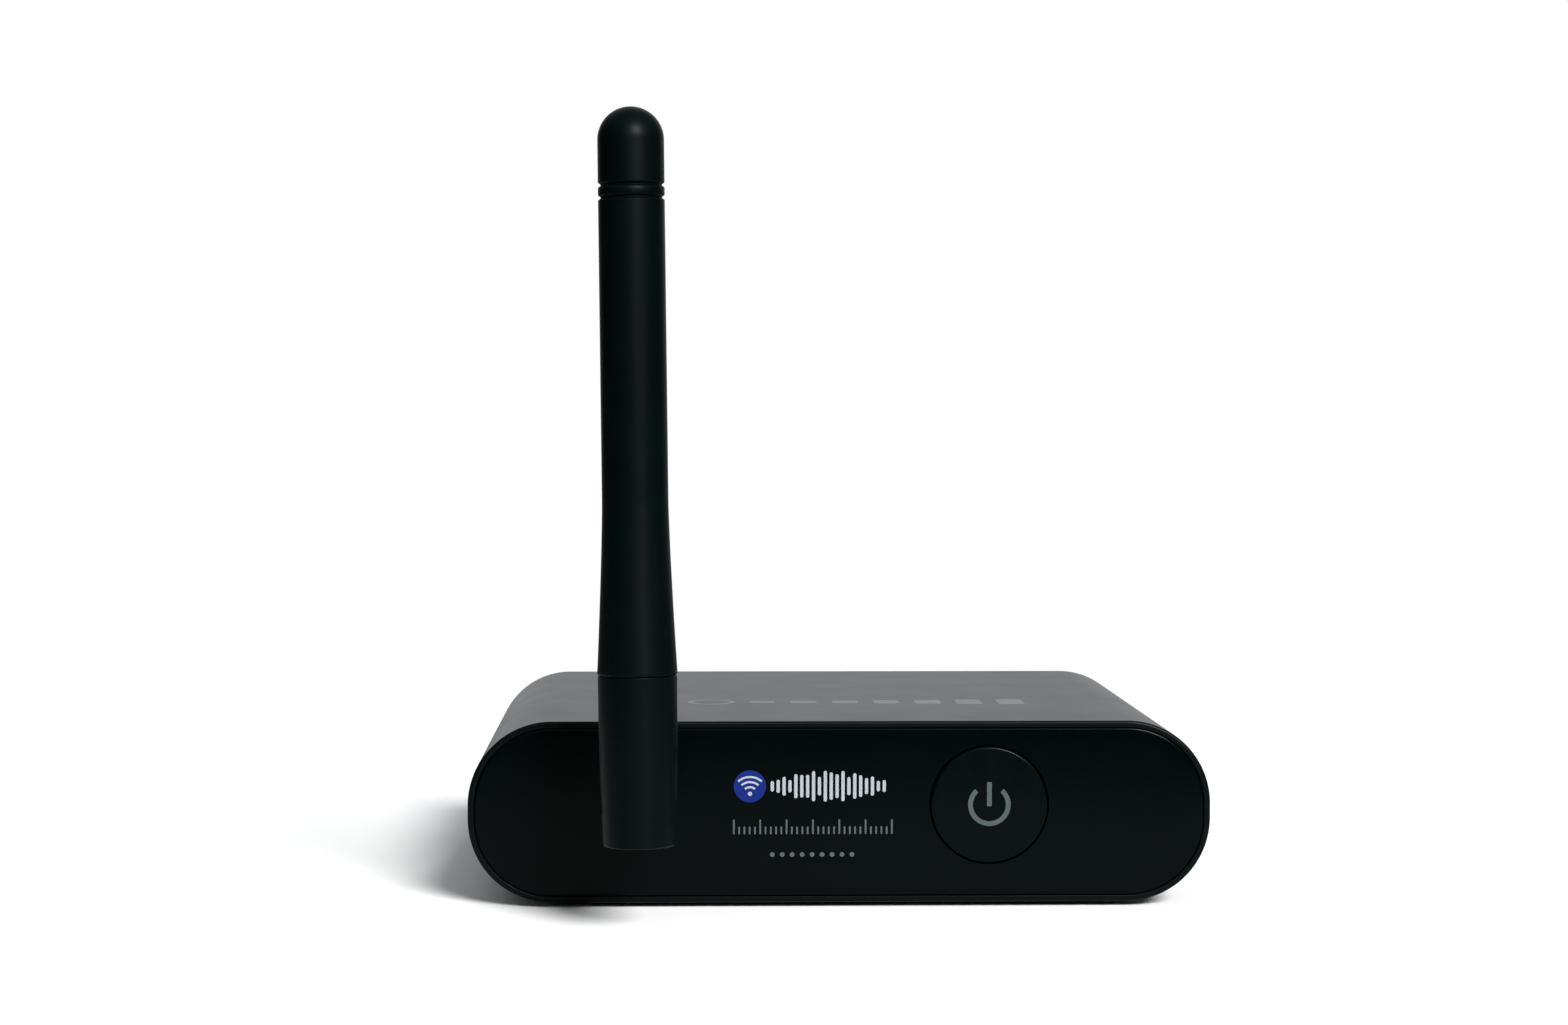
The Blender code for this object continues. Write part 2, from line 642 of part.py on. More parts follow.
def make_aerial_base(tilt, materials):
    """The lower shell of the aerial: a forked foot about the hinge pin, and a spigot up into the mast."""
    edge, clear = 0.35, 9.0
    profile = [
        (FOOT_RADIUS - edge, AERIAL_FOOT),
        (FOOT_RADIUS, AERIAL_FOOT + edge),
        (FOOT_RADIUS + 0.24, 3.5),
        (SEAM_RADIUS - 0.07, 10.0),
        (SEAM_RADIUS - 0.05, AERIAL_SEAM - 0.2),
        (SEAM_RADIUS - 0.2, AERIAL_SEAM),
        (SPIGOT_RADIUS, AERIAL_SEAM),
        (SPIGOT_RADIUS, SPIGOT_TOP),
    ]
    base = add_piece("aerial_base", turned(profile), materials["aerial_plastic"], tilt)
    # The quarter that swings past the knuckle's shoulder is rounded about the hinge pin.
    corner = [(0.0, -clear), (clear, -clear), (clear, 0.0)] + arc(-AERIAL_FOOT, 0, -90, 10)
    cut(base, prism_along_x(corner, -clear, clear))
    slot_half = TONGUE_WIDTH / 2 + 0.15
    slot_reach = TONGUE_RADIUS + MOVING_GAP
    cut(base, block((-slot_half, -slot_reach, -clear), (slot_half, clear, slot_reach)))
    cut(base, turned_along_x([(PIN_RADIUS + 0.03, -clear), (PIN_RADIUS + 0.03, clear)], SMALL_ROUND))
    coax_radius, coax_start = 0.9, slot_reach + MOVING_GAP
    coax_bore = coax_radius + 0.2
    cut(base, turned([(coax_bore, 0.0), (coax_bore, SPIGOT_TOP + 1.0)], SMALL_ROUND))
    pin_half = FOOT_RADIUS - 0.12
    pin = turned_along_x([(PIN_RADIUS, -pin_half), (PIN_RADIUS, pin_half)], SMALL_ROUND)
    add_piece("hinge_pin", pin, materials["steel"], tilt)
    coax = turned([(coax_radius, coax_start), (coax_radius, COAX_TOP)], SMALL_ROUND)
    add_piece("aerial_coax", coax, materials["cable_jacket"], tilt)


def mast_profile():
    """The mast's outside, from its foot up: a flare, a straight run with two grooves, and a round tip."""
    foot_edge, groove_depth, groove_half = 0.25, 0.3, 0.3
    flare_start = AERIAL_SEAM + FIT_GAP + foot_edge
    profile = [(SEAM_RADIUS - foot_edge / 2, AERIAL_SEAM + FIT_GAP)]
    flare_steps, flare_power = 4, 1.35
    for step in range(flare_steps + 1):
        share = step / flare_steps
        radius = MAST_RADIUS + (SEAM_RADIUS - MAST_RADIUS) * (1 - share) ** flare_power
        profile.append((radius, flare_start + share * (FLARE_TOP - flare_start)))
    for centre in GROOVE_HEIGHTS:
        profile.append((MAST_RADIUS, centre - groove_half))
        profile.append((MAST_RADIUS - groove_depth, centre))
        profile.append((MAST_RADIUS, centre + groove_half))
    dome_base = AERIAL_TIP - MAST_RADIUS
    profile += [(radius, dome_base + height) for radius, height in arc(MAST_RADIUS, 0, 84, 5)]
    profile.append((0.05 * MAST_RADIUS, AERIAL_TIP))
    return profile


def make_mast(tilt, materials):
    """The moulded cover of the aerial and the radiator inside it."""
    cover = add_piece("aerial_mast", turned(mast_profile()), materials["aerial_plastic"], tilt)
    socket_radius, bore_radius = SPIGOT_RADIUS + 0.1, 2.6
    socket_top, bore_top = SPIGOT_TOP + 0.2, AERIAL_TIP - 8.0
    bore = [
        (socket_radius, AERIAL_SEAM - 1.0),
        (socket_radius, socket_top),
        (bore_radius, socket_top + 0.8),
        (bore_radius, bore_top),
    ]
    cut(cover, turned(bore, SMALL_ROUND))
    tube_inner, tube_outer, tube_start, tube_end = 1.1, 2.2, 26.0, 50.0
    tube = [
        (tube_inner, tube_start),
        (tube_outer, tube_start),
        (tube_outer, tube_end),
        (tube_inner, tube_end),
    ]
    add_piece("radiator_tube", turned(tube, SMALL_ROUND, closed=True), materials["brass"], tilt)
    whip_radius, whip_top = 0.45, 74.0
    whip = turned([(whip_radius, COAX_TOP + PANEL_GAP), (whip_radius, whip_top)], SMALL_ROUND)
    add_piece("radiator_whip", whip, materials["brass"], tilt)


# ---------------------------------------------------------------- rear sockets
def make_phono_sockets(datum, materials):
    """A pair of phono sockets: one black block on the board, and a plated barrel and insert in each."""
    block_back, block_top, margin, seat = 61.0, 21.0, 6.2, 66.0
    low = (PHONO_XS["left"] - margin, block_back, ON_BOARD_Z)
    high = (PHONO_XS["right"] + margin, SOCKET_FRONT_Y, block_top)
    body = add_piece("phono_block", block(low, high), materials["socket_plastic"], datum)
    barrel_inner, barrel_start = 3.75, seat + PANEL_GAP
    barrel_profile = [
        (barrel_inner, barrel_start),
        (PHONO_RADIUS, barrel_start),
        (PHONO_RADIUS, PHONO_END_Y - 0.3),
        (PHONO_RADIUS - 0.15, PHONO_END_Y),
        (barrel_inner, PHONO_END_Y),
    ]
    insert_radius, hole_radius, hole_start = barrel_inner - FIT_GAP, 1.65, 71.0
    insert_end = PHONO_END_Y - 1.0
    insert_profile = [
        (insert_radius, barrel_start),
        (insert_radius, insert_end),
        (hole_radius, insert_end),
        (hole_radius, hole_start),
    ]
    contact_inner, contact_outer = 1.2, hole_radius - 0.1
    contact_start, contact_end = hole_start + PANEL_GAP, insert_end - 1.0
    colours = {"left": materials["phono_white"], "right": materials["phono_red"]}
    for name, x in PHONO_XS.items():
        place = (x, 0.0, SOCKET_Z)
        cut(body, rod_along_y(PHONO_RADIUS + FIT_GAP, seat, SOCKET_FRONT_Y + 1.0), place)
        barrel = turned_along_y(barrel_profile, closed=True)
        add_piece(f"phono_barrel_{name}", barrel, materials["nickel"], datum, place)
        add_piece(f"phono_insert_{name}", turned_along_y(insert_profile), colours[name], datum, place)
        contact = tube_along_y(contact_inner, contact_outer, contact_start, contact_end, SMALL_ROUND)
        add_piece(f"phono_contact_{name}", contact, materials["tin"], datum, place)


def make_power_jack(datum, materials):
    """The supply socket: a block with a round nose through the rear panel, and its centre pin."""
    half, back, top = 4.6, 60.5, 20.4
    nose_end, bore_radius, bore_end = CASE_DEPTH + 0.5, 3.1, 66.4
    pin_radius, pin_seat, pin_end = 1.0, 64.0, nose_end - 0.9
    place = (POWER_JACK_X, 0.0, SOCKET_Z)
    low, high = (POWER_JACK_X - half, back, ON_BOARD_Z), (POWER_JACK_X + half, SOCKET_FRONT_Y, top)
    body = add_piece("power_jack_body", block(low, high), materials["socket_plastic"], datum)
    nose = [
        (POWER_NOSE_RADIUS, SOCKET_FRONT_Y - 2.0),
        (POWER_NOSE_RADIUS, nose_end - 0.2),
        (POWER_NOSE_RADIUS - 0.2, nose_end),
    ]
    join(body, turned_along_y(nose), place)
    bore = [
        (pin_radius + FIT_GAP, pin_seat - PANEL_GAP),
        (pin_radius + FIT_GAP, bore_end),
        (bore_radius, bore_end),
        (bore_radius, nose_end + 1.0),
    ]
    cut(body, turned_along_y(bore), place)
    pin = [(pin_radius, pin_seat), (pin_radius, pin_end - 0.4), (pin_radius - 0.3, pin_end)]
    add_piece("power_jack_pin", turned_along_y(pin), materials["nickel"], datum, place)


def make_optical_socket(datum, shutter_hinge, materials):
    """The optical output: a hollow body with a lip above its mouth, a shutter behind it and a red emitter."""
    body_back, nose_end, lip_start = 60.5, CASE_DEPTH + 0.4, CASE_DEPTH - 0.25
    floor_z, mouth_top_z, ceiling_z = 10.0, 18.35, 19.45
    cavity_half, cavity_back = 4.15, 65.2
    low = (OPTICAL_X - OPTICAL_HALF_WIDTH, body_back, ON_BOARD_Z)
    high = (OPTICAL_X + OPTICAL_HALF_WIDTH, nose_end, OPTICAL_TOP_Z)
    body = add_piece("optical_body", block(low, high), materials["socket_plastic"], datum)
    left, right = OPTICAL_X - cavity_half, OPTICAL_X + cavity_half
    cut(body, block((left, cavity_back, floor_z), (right, lip_start, ceiling_z)))
    cut(body, block((left, lip_start - 0.5, floor_z), (right, nose_end + 1.0, mouth_top_z)))
    pivot_radius, pivot_half = 0.4, OPTICAL_HALF_WIDTH - 0.4
    pivot_bore = [(pivot_radius + 0.06, -pivot_half - 0.1), (pivot_radius + 0.06, pivot_half + 0.1)]
    cut(body, turned_along_x(pivot_bore, TINY_ROUND), (OPTICAL_X, SHUTTER_Y, SHUTTER_Z))
    emitter_radius, emitter_start, emitter_end = 1.2, 62.2, 64.9
    emitter_place = (OPTICAL_X, 0.0, (floor_z + mouth_top_z) / 2)
    emitter_bore = rod_along_y(emitter_radius + 0.1, emitter_start - 0.2, cavity_back + 0.5, SMALL_ROUND)
    cut(body, emitter_bore, emitter_place)
    emitter = [
        (emitter_radius, emitter_start),
        (emitter_radius, emitter_end - 0.5),
        (emitter_radius - 0.4, emitter_end),
    ]
    lens = turned_along_y(emitter, SMALL_ROUND)
    add_piece("optical_emitter", lens, materials["lens_red"], datum, emitter_place)
    flap_half, flap_thickness = cavity_half - 0.15, 0.7
    flap_low = (-flap_half, -flap_thickness / 2, floor_z + 0.2 - SHUTTER_Z)
    flap_high = (flap_half, flap_thickness / 2, 0.0)
    plastic = materials["socket_plastic"]
    flap = add_piece("optical_shutter", block(flap_low, flap_high), plastic, shutter_hinge)
    join(flap, turned_along_x([(pivot_radius, -pivot_half), (pivot_radius, pivot_half)], TINY_ROUND))


# ---------------------------------------------------------------- circuit board and what it carries
def make_board(datum, laminate):
    """The main board, which slides in on the sleeve's rails."""
    low = (-BOARD_HALF_WIDTH, BOARD_FRONT_Y, BOARD_BOTTOM_Z)
    high = (BOARD_HALF_WIDTH, BOARD_REAR_Y, BOARD_TOP_Z)
    add_piece("main_board", block(low, high), laminate, datum)


def make_chips(datum, epoxy):
    """Square parts on the board, each with its middle and its width, depth and height."""
    chips = {
        "decoder_chip": ((2.0, 34.0), (10.0, 10.0, 1.4)),
        "audio_converter_chip": ((-12.0, 50.0), (7.0, 7.0, 1.2)),
        "regulator_chip": ((33.0, 46.0), (6.5, 6.5, 2.2)),
        "power_inductor": ((24.0, 46.0), (7.0, 7.0, 4.0)),
    }
    for name, ((x, y), (width, depth, height)) in chips.items():
        low = (x - width / 2, y - depth / 2, ON_BOARD_Z)
        high = (x + width / 2, y + depth / 2, ON_BOARD_Z + height)
        add_piece(name, block(low, high), epoxy, datum)


def make_cans(datum, tin):
    """Round metal-cased parts on the board, each with its middle, radius and height."""
    cans = {
        "clock_crystal": ((12.5, 34.0), 1.9, 3.4),
        "capacitor_supply": ((34.0, 34.0), 3.2, 8.0),
        "capacitor_output_left": ((-25.0, 54.0), 2.5, 7.0),
        "capacitor_output_right": ((-3.0, 54.0), 2.5, 7.0),
    }
    edge = 0.25
    for name, ((x, y), radius, height) in cans.items():
        profile = [(radius - edge, 0.0), (radius, edge), (radius, height - edge), (radius - edge, height)]
        add_piece(name, turned(profile, SMALL_ROUND), tin, datum, (x, y, ON_BOARD_Z))


def make_radio_module(datum, materials):
    """The radio module on the board, under its shield can, with the aerial lead's plug in front of it."""
    x0, x1, y0, y1 = -33.0, -17.0, 22.0, 44.0
    board_top = ON_BOARD_Z + 0.8
    margin, can_start, can_height = 1.2, y0 + 6.0, 1.95
    module = block((x0, y0, ON_BOARD_Z), (x1, y1, board_top))
    add_piece("radio_module_board", module, materials["board_laminate"], datum)
    on_module = board_top + FIT_GAP
    can = block((x0 + margin, can_start, on_module), (x1 - margin, y1 - margin, on_module + can_height))
    add_piece("radio_shield_can", can, materials["tin"], datum)
    plug_y, plug_radius, plug_height = y0 + 3.0, 1.5, 1.6
    plug = turned([(plug_radius, 0.0), (plug_radius, plug_height)], SMALL_ROUND)
    add_piece("lead_board_plug", plug, materials["gold"], datum, (AERIAL_X, plug_y, on_module))
    start = Vector((AERIAL_X, JACK_TAIL_Y + 0.2, CONNECTOR_Z))
    end = Vector((AERIAL_X, plug_y - plug_radius - PANEL_GAP, on_module + plug_height / 2))
    make_lead(datum, materials["cable_jacket"], start, end)


def make_lead(datum, jacket, start, end):
    """The thin coaxial lead from the jack's tail down to the module, on one smooth S-shaped run."""
    radius, pull, steps = 0.55, 8.0, 14
    handles = (start, start + Vector((0, pull, 0)), end - Vector((0, pull, 0)), end)
    points = []
    for i in range(steps + 1):
        t = i / steps
        weights = ((1 - t) ** 3, 3 * t * (1 - t) ** 2, 3 * t * t * (1 - t), t**3)
        points.append(sum((w * h for w, h in zip(weights, handles)), Vector()) * MM)
    curve = bpy.data.curves.new("aerial_lead", "CURVE")
    curve.dimensions = "3D"
    curve.bevel_depth = radius * MM
    curve.bevel_resolution = 2
    curve.use_fill_caps = True
    spline = curve.splines.new("POLY")
    spline.points.add(len(points) - 1)
    for target, point in zip(spline.points, points):
        target.co = (*point, 1.0)
    curve.materials.append(jacket)
    lead = bpy.data.objects.new("aerial_lead", curve)
    bpy.context.scene.collection.objects.link(lead)
    lead.parent = datum


# ---------------------------------------------------------------- the whole receiver
def make_case(datum, materials):
    make_sleeve(datum, materials["case_plastic"])
    make_front_panel(datum, materials["panel_acrylic"])
    make_front_carrier(datum, materials["carrier_plastic"])
    make_rear_panel(datum, materials["carrier_plastic"])
    make_rear_screws(datum, materials["steel"])
    make_feet(datum, materials["foot_rubber"])


def make_controls(datum, materials):
    button_slide = make_datum("button_slide", (BUTTON_X, 0.0, BUTTON_Z), datum)
    plunger_slide = make_datum("plunger_slide", (BUTTON_X, 0.0, BUTTON_Z), datum)
    make_button(button_slide, materials["button_plastic"], materials["icon_plastic"])
    make_switch(datum, plunger_slide, materials["chip_epoxy"], materials["insulator"], materials["tin"])
    make_power_led(datum, materials["led_clear"])


def make_aerial(datum, materials):
    plug_slide = make_datum("plug_slide", (AERIAL_X, 0.0, CONNECTOR_Z), datum)
    nut_turn = make_datum("nut_turn", (0.0, 0.0, 0.0), plug_slide)
    swivel = make_datum("aerial_swivel", (0.0, HINGE_Y, 0.0), plug_slide)
    # The aerial is shown turned a little to the left of upright on its swivel.
    swivel.rotation_euler.y = -math.radians(AERIAL_LEAN_DEG)
    tilt = make_datum("aerial_tilt", (0.0, 0.0, 0.0), swivel)
    make_jack(datum, materials)
    make_jack_fixings(datum, materials)
    make_coupling_nut(nut_turn, materials)
    make_plug(plug_slide, materials)
    make_knuckle(swivel, materials["aerial_plastic"])
    make_aerial_base(tilt, materials)
    make_mast(tilt, materials)


def make_rear_sockets(datum, materials):
    shutter_hinge = make_datum("shutter_hinge", (OPTICAL_X, SHUTTER_Y, SHUTTER_Z), datum)
    make_phono_sockets(datum, materials)
    make_power_jack(datum, materials)
    make_optical_socket(datum, shutter_hinge, materials)


def make_electronics(datum, materials):
    make_board(datum, materials["board_laminate"])
    make_chips(datum, materials["chip_epoxy"])
    make_cans(datum, materials["tin"])
    make_radio_module(datum, materials)


def main():
    clear_scene()
    materials = make_materials()
    datum = make_datum("front_datum", (0.0, FRONT_FACE_Y, 0.0))
    make_case(datum, materials)
    make_controls(datum, materials)
    make_aerial(datum, materials)
    make_rear_sockets(datum, materials)
    make_electronics(datum, materials)


main()
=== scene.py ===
"""The looks of the desktop wireless audio receiver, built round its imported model.

Lengths are in millimetres in the case's own frame: X to the right, Y from the face of the case's front rim
towards the rear sockets, Z up from the table. Pieces are made there and moved to the frame in metres.
"""

import json
import math

import bmesh
import bpy
from mathutils import Matrix, Vector


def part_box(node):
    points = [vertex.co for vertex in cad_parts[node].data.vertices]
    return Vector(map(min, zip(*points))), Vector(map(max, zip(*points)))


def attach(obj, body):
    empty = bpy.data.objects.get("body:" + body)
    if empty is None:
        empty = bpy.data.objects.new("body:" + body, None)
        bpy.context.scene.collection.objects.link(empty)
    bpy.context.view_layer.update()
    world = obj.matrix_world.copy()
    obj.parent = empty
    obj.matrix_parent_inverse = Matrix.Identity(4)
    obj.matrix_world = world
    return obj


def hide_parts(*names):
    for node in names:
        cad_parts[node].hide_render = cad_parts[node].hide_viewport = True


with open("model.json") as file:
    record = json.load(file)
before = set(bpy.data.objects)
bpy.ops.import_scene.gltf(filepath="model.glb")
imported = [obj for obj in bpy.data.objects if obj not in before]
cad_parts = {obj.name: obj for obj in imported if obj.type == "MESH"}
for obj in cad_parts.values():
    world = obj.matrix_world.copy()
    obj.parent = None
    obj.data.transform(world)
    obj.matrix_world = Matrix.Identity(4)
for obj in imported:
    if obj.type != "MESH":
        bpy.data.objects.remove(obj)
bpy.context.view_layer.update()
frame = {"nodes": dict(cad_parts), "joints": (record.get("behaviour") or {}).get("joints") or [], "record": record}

MM = 0.001
CASE_ORIGIN = Vector((0.0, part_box("case_sleeve")[0].y, 0.0))


# ---------------------------------------------------------------- sizes and places read from the frame
def span(node):
    """A CAD node's lowest and highest corner, in the case's millimetres."""
    low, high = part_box(node)
    return (low - CASE_ORIGIN) / MM, (high - CASE_ORIGIN) / MM


def middle(node):
    low, high = span(node)
    return (low + high) / 2


def axis_place(node):
    """Where a node's own axis along Y meets the plane of the front rim."""
    place = middle(node)
    return (place.x, 0.0, place.z)


def joint(name):
    return next(j for j in frame["joints"] if j["name"] == name)


def joint_place(name):
    """The point that a hinge turns about, in the case's millimetres."""
    return (Vector(joint(name)["pos_m"]) - CASE_ORIGIN) / MM


CASE_LOW, CASE_HIGH = span("case_sleeve")
CASE_MID = (CASE_LOW + CASE_HIGH) / 2
DEPTH = CASE_HIGH.y
PANEL_HIGH = span("front_panel")[1]
REAR_LOW = span("rear_panel")[0]
PANEL_INSET = CASE_HIGH.x - PANEL_HIGH.x
BUTTON = axis_place("power_button")
BUTTON_FACE = span("power_button")[0].y
HINGE = joint_place("aerial_tilt")
CONNECTOR = Vector((HINGE.x, 0.0, HINGE.z))
TILT_AXIS = Vector(joint("aerial_tilt")["axis"])
AERIAL_LEAN = Vector((1.0, 0.0, 0.0)).rotation_difference(TILT_AXIS).to_matrix().to_4x4()
SHUTTER = joint_place("shutter_swing")

# Sizes that no box gives
END_RADIUS = 10.7
WALL = 1.8
RIM = 0.8
PANEL_GAP = 0.1
PLATE_EDGE = 0.3
FRONT_SEAT = PANEL_HIGH.y + PANEL_GAP
REAR_SEAT = REAR_LOW.y - PANEL_GAP / 2
BUTTON_RADIUS = 7.45
BUTTON_GAP = 0.17
# The aerial's heights are measured up from its hinge pin
AERIAL_FOOT = -4.6
SEAM_HEIGHT = 16.05
TIP_HEIGHT = 84.2
SEAM_RADIUS = 4.85
MAST_RADIUS = 4.0
FLARE_TOP = 37.0
GROOVES = (73.3, 74.8)
THREAD_RADIUS = 3.175
THREAD_PITCH = 25.4 / 36
THREAD_DEPTH = 0.36
PHONO_RADIUS = 4.15
PHONO_BORE = 3.75
SUPPLY_RADIUS = 4.0
OPTICAL_HALF = 4.15
OPTICAL_FLOOR = 10.0

# Sides of a turned solid, by its size, and the angle above which an edge is drawn sharp
FINE = 96
ROUND = 64
SMALL = 40
TINY = 24
SHARP_ANGLE = math.radians(32)

# An edge shorter than this is closed up after a cut
SPECK = 0.002


# ---------------------------------------------------------------- outlines and solids
def fillet(corners, steps=5):
    """A line through (a, b) or (a, b, radius) corners; a corner with a radius becomes an arc."""
    points = []
    for i, corner in enumerate(corners):
        here = Vector(corner[:2])
        if len(corner) == 2:
            points.append(here)
            continue
        radius = corner[2]
        back = (Vector(corners[i - 1][:2]) - here).normalized()
        ahead = (Vector(corners[(i + 1) % len(corners)][:2]) - here).normalized()
        half = back.angle(ahead) / 2
        reach = radius / math.tan(half)
        centre = here + (back + ahead).normalized() * (radius / math.sin(half))
        first = here + back * reach - centre
        sweep = math.pi - 2 * half
        if back.x * ahead.y - back.y * ahead.x > 0:
            sweep = -sweep
        for step in range(steps + 1):
            points.append(centre + Matrix.Rotation(sweep * step / steps, 2) @ first)
    return [tuple(point) for point in points]


def arc(radius, start_deg, end_deg, steps, centre=(0.0, 0.0)):
    """Pairs along an arc, with angles measured from the first axis towards the second."""
    angles = (math.radians(start_deg + (end_deg - start_deg) * i / steps) for i in range(steps + 1))
    return [(centre[0] + radius * math.cos(a), centre[1] + radius * math.sin(a)) for a in angles]


def circle(radius, height, segments):
    turns = (math.tau * i / segments for i in range(segments))
    return [(radius * math.cos(t), radius * math.sin(t), height) for t in turns]


def case_outline(inset, y, steps=28):
    """The case's cross-section, a rectangle with nearly half-round ends, drawn in by the inset."""
    radius = END_RADIUS - inset
    half_width = (CASE_HIGH.x - CASE_LOW.x) / 2 - END_RADIUS
    half_height = (CASE_HIGH.z - CASE_LOW.z) / 2 - END_RADIUS
    points = []
    for corner, (side, up) in enumerate(((1, 1), (-1, 1), (-1, -1), (1, -1))):
        centre = (side * half_width, CASE_MID.z + up * half_height)
        points += [(x, y, z) for x, z in arc(radius, 90 * corner, 90 * corner + 90, steps, centre)]
    return points


def loft(rings, closed=False):
    """A solid through rings of equally many points: capped at both ends, or closed into a loop of rings."""
    bm = bmesh.new()
    made = [[bm.verts.new(point) for point in ring] for ring in rings]
    pairs = list(zip(made, made[1:]))
    if closed:
        pairs.append((made[-1], made[0]))
    else:
        bm.faces.new(made[0])
        bm.faces.new(made[-1])
    for low, high in pairs:
        count = len(low)
        for i in range(count):
            j = (i + 1) % count
            bm.faces.new((low[i], low[j], high[j], high[i]))
    bmesh.ops.recalc_face_normals(bm, faces=bm.faces)
    return bm


def laid(bm, along):
    """Turns a solid made about the Z axis so that its heights run along +X or +Y."""
    turns = {"X": Matrix.Rotation(math.pi / 2, 4, "Y"), "Y": Matrix.Rotation(-math.pi / 2, 4, "X")}
    if along in turns:
        bmesh.ops.transform(bm, matrix=turns[along], verts=bm.verts)
    return bm


def turned(profile, segments=ROUND, closed=False, along="Z"):
    """A turned solid from (radius, height) pairs; a closed one is a tube."""
    return laid(loft([circle(radius, height, segments) for radius, height in profile], closed), along)


def rod(radius, start, end, segments=ROUND, along="Y"):
    return turned([(radius, start), (radius, end)], segments, along=along)


def prism(outline, start, end, along="Y"):
    """A straight solid along Y from an outline of (x, z) points, or along X from (y, z) points."""
    if along == "X":
        return loft([[(x, y, z) for y, z in outline] for x in (start, end)])
    return loft([[(x, y, z) for x, z in outline] for y in (start, end)])


def block(low, high):
    (x0, y0, z0), (x1, y1, z1) = low, high
    return prism([(x0, z0), (x1, z0), (x1, z1), (x0, z1)], y0, y1)


def rounded_rectangle(x0, z0, x1, z1, radius, steps=5):
    return fillet([(x0, z0, radius), (x1, z0, radius), (x1, z1, radius), (x0, z1, radius)], steps)


def moved(bm, x, y, z):
    bmesh.ops.translate(bm, vec=(x, y, z), verts=bm.verts)
    return bm


def in_scene(name, data):
    """A new object of the scene that holds the given mesh, light or camera."""
    made = bpy.data.objects.new(name, data)
    bpy.context.scene.collection.objects.link(made)
    return made


def gathered(solids):
    """Several separate solids as one mesh."""
    whole = bmesh.new()
    for solid in solids:
        mesh = bpy.data.meshes.new("part")
        solid.to_mesh(mesh)
        solid.free()
        whole.from_mesh(mesh)
        bpy.data.meshes.remove(mesh)
    return whole


def carved(base, cuts=(), joins=()):
    """A solid with others joined on and then others cut away, without the specks that this leaves."""
    helpers = []
    for solid in (base, *joins, *cuts):
        mesh = bpy.data.meshes.new("helper")
        solid.to_mesh(mesh)
        solid.free()
        helpers.append(in_scene("helper", mesh))
    target = helpers[0]
    operations = ["UNION"] * len(joins) + ["DIFFERENCE"] * len(cuts)
    for helper, operation in zip(helpers[1:], operations):
        modifier = target.modifiers.new("carve", "BOOLEAN")
        modifier.operation = operation
        modifier.object = helper
    evaluated = target.evaluated_get(bpy.context.evaluated_depsgraph_get())
    result = bpy.data.meshes.new_from_object(evaluated)
    bm = bmesh.new()
    bm.from_mesh(result)
    bpy.data.meshes.remove(result)
    bmesh.ops.remove_doubles(bm, verts=bm.verts, dist=SPECK)
    bmesh.ops.dissolve_degenerate(bm, dist=SPECK, edges=bm.edges)
    for helper in helpers:
        mesh = helper.data
        bpy.data.objects.remove(helper)
        bpy.data.meshes.remove(mesh)
    return bm


def leaning(bm):
    """A solid made about the upright hinge, turned to the slant at which the aerial rests."""
    bmesh.ops.transform(bm, matrix=AERIAL_LEAN, verts=bm.verts)
    return bm


def add_piece(name, bm, material, body, place=(0.0, 0.0, 0.0), stands_for=()):
    """A finished piece that rides on a CAD body and stands for the CAD nodes named."""
    bmesh.ops.transform(bm, matrix=Matrix.Translation(Vector(place)), verts=bm.verts)
    bmesh.ops.scale(bm, vec=(MM, MM, MM), verts=bm.verts)
    bmesh.ops.translate(bm, vec=CASE_ORIGIN, verts=bm.verts)
    mesh = bpy.data.meshes.new(name)
    bm.to_mesh(mesh)
    bm.free()
    mesh.materials.append(material)
    mesh.shade_smooth()
    mesh.set_sharp_from_angle(angle=SHARP_ANGLE)
    piece = in_scene(name, mesh)
    weighting = piece.modifiers.new("flat_faces_stay_flat", "WEIGHTED_NORMAL")
    weighting.weight = 100
    weighting.keep_sharp = True
    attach(piece, body)
    if stands_for:
        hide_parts(*stands_for)


# ---------------------------------------------------------------- materials
def link(tree, source, target):
    tree.links.new(source, target)


def noise(tree, size, detail=3.0, stretch=(1.0, 1.0, 1.0)):
    """A noise pattern whose features are about size millimetres across, stretched along an axis if asked."""
    coords = tree.nodes.new("ShaderNodeTexCoord")
    mapping = tree.nodes.new("ShaderNodeMapping")
    mapping.inputs["Scale"].default_value = [1 / s for s in stretch]
    pattern = tree.nodes.new("ShaderNodeTexNoise")
    pattern.inputs["Scale"].default_value = 1 / (size * MM)
    pattern.inputs["Detail"].default_value = detail
    link(tree, coords.outputs["Object"], mapping.inputs["Vector"])
    link(tree, mapping.outputs["Vector"], pattern.inputs["Vector"])
    return pattern.outputs["Fac"]


def spread(tree, value, low, high):
    """The middle of a noise pattern, stretched to run from low to high."""
    ramp = tree.nodes.new("ShaderNodeMapRange")
    ramp.inputs["From Min"].default_value = 0.3
    ramp.inputs["From Max"].default_value = 0.7
    ramp.inputs["To Min"].default_value = low
    ramp.inputs["To Max"].default_value = high
    link(tree, value, ramp.inputs["Value"])
    return ramp.outputs["Result"]


def blended(tree, factor, first, second):
    """A colour that runs from the first to the second."""
    mix = tree.nodes.new("ShaderNodeMix")
    mix.data_type = "RGBA"
    mix.inputs["A"].default_value = (*first, 1.0)
    mix.inputs["B"].default_value = (*second, 1.0)
    link(tree, factor, mix.inputs["Factor"])
    return mix.outputs["Result"]


def bumped(tree, height, depth):
    """Relief of the given depth in millimetres."""
    bump = tree.nodes.new("ShaderNodeBump")
    bump.inputs["Distance"].default_value = depth * MM
    bump.inputs["Strength"].default_value = 1.0
    link(tree, height, bump.inputs["Height"])
    return bump.outputs["Normal"]


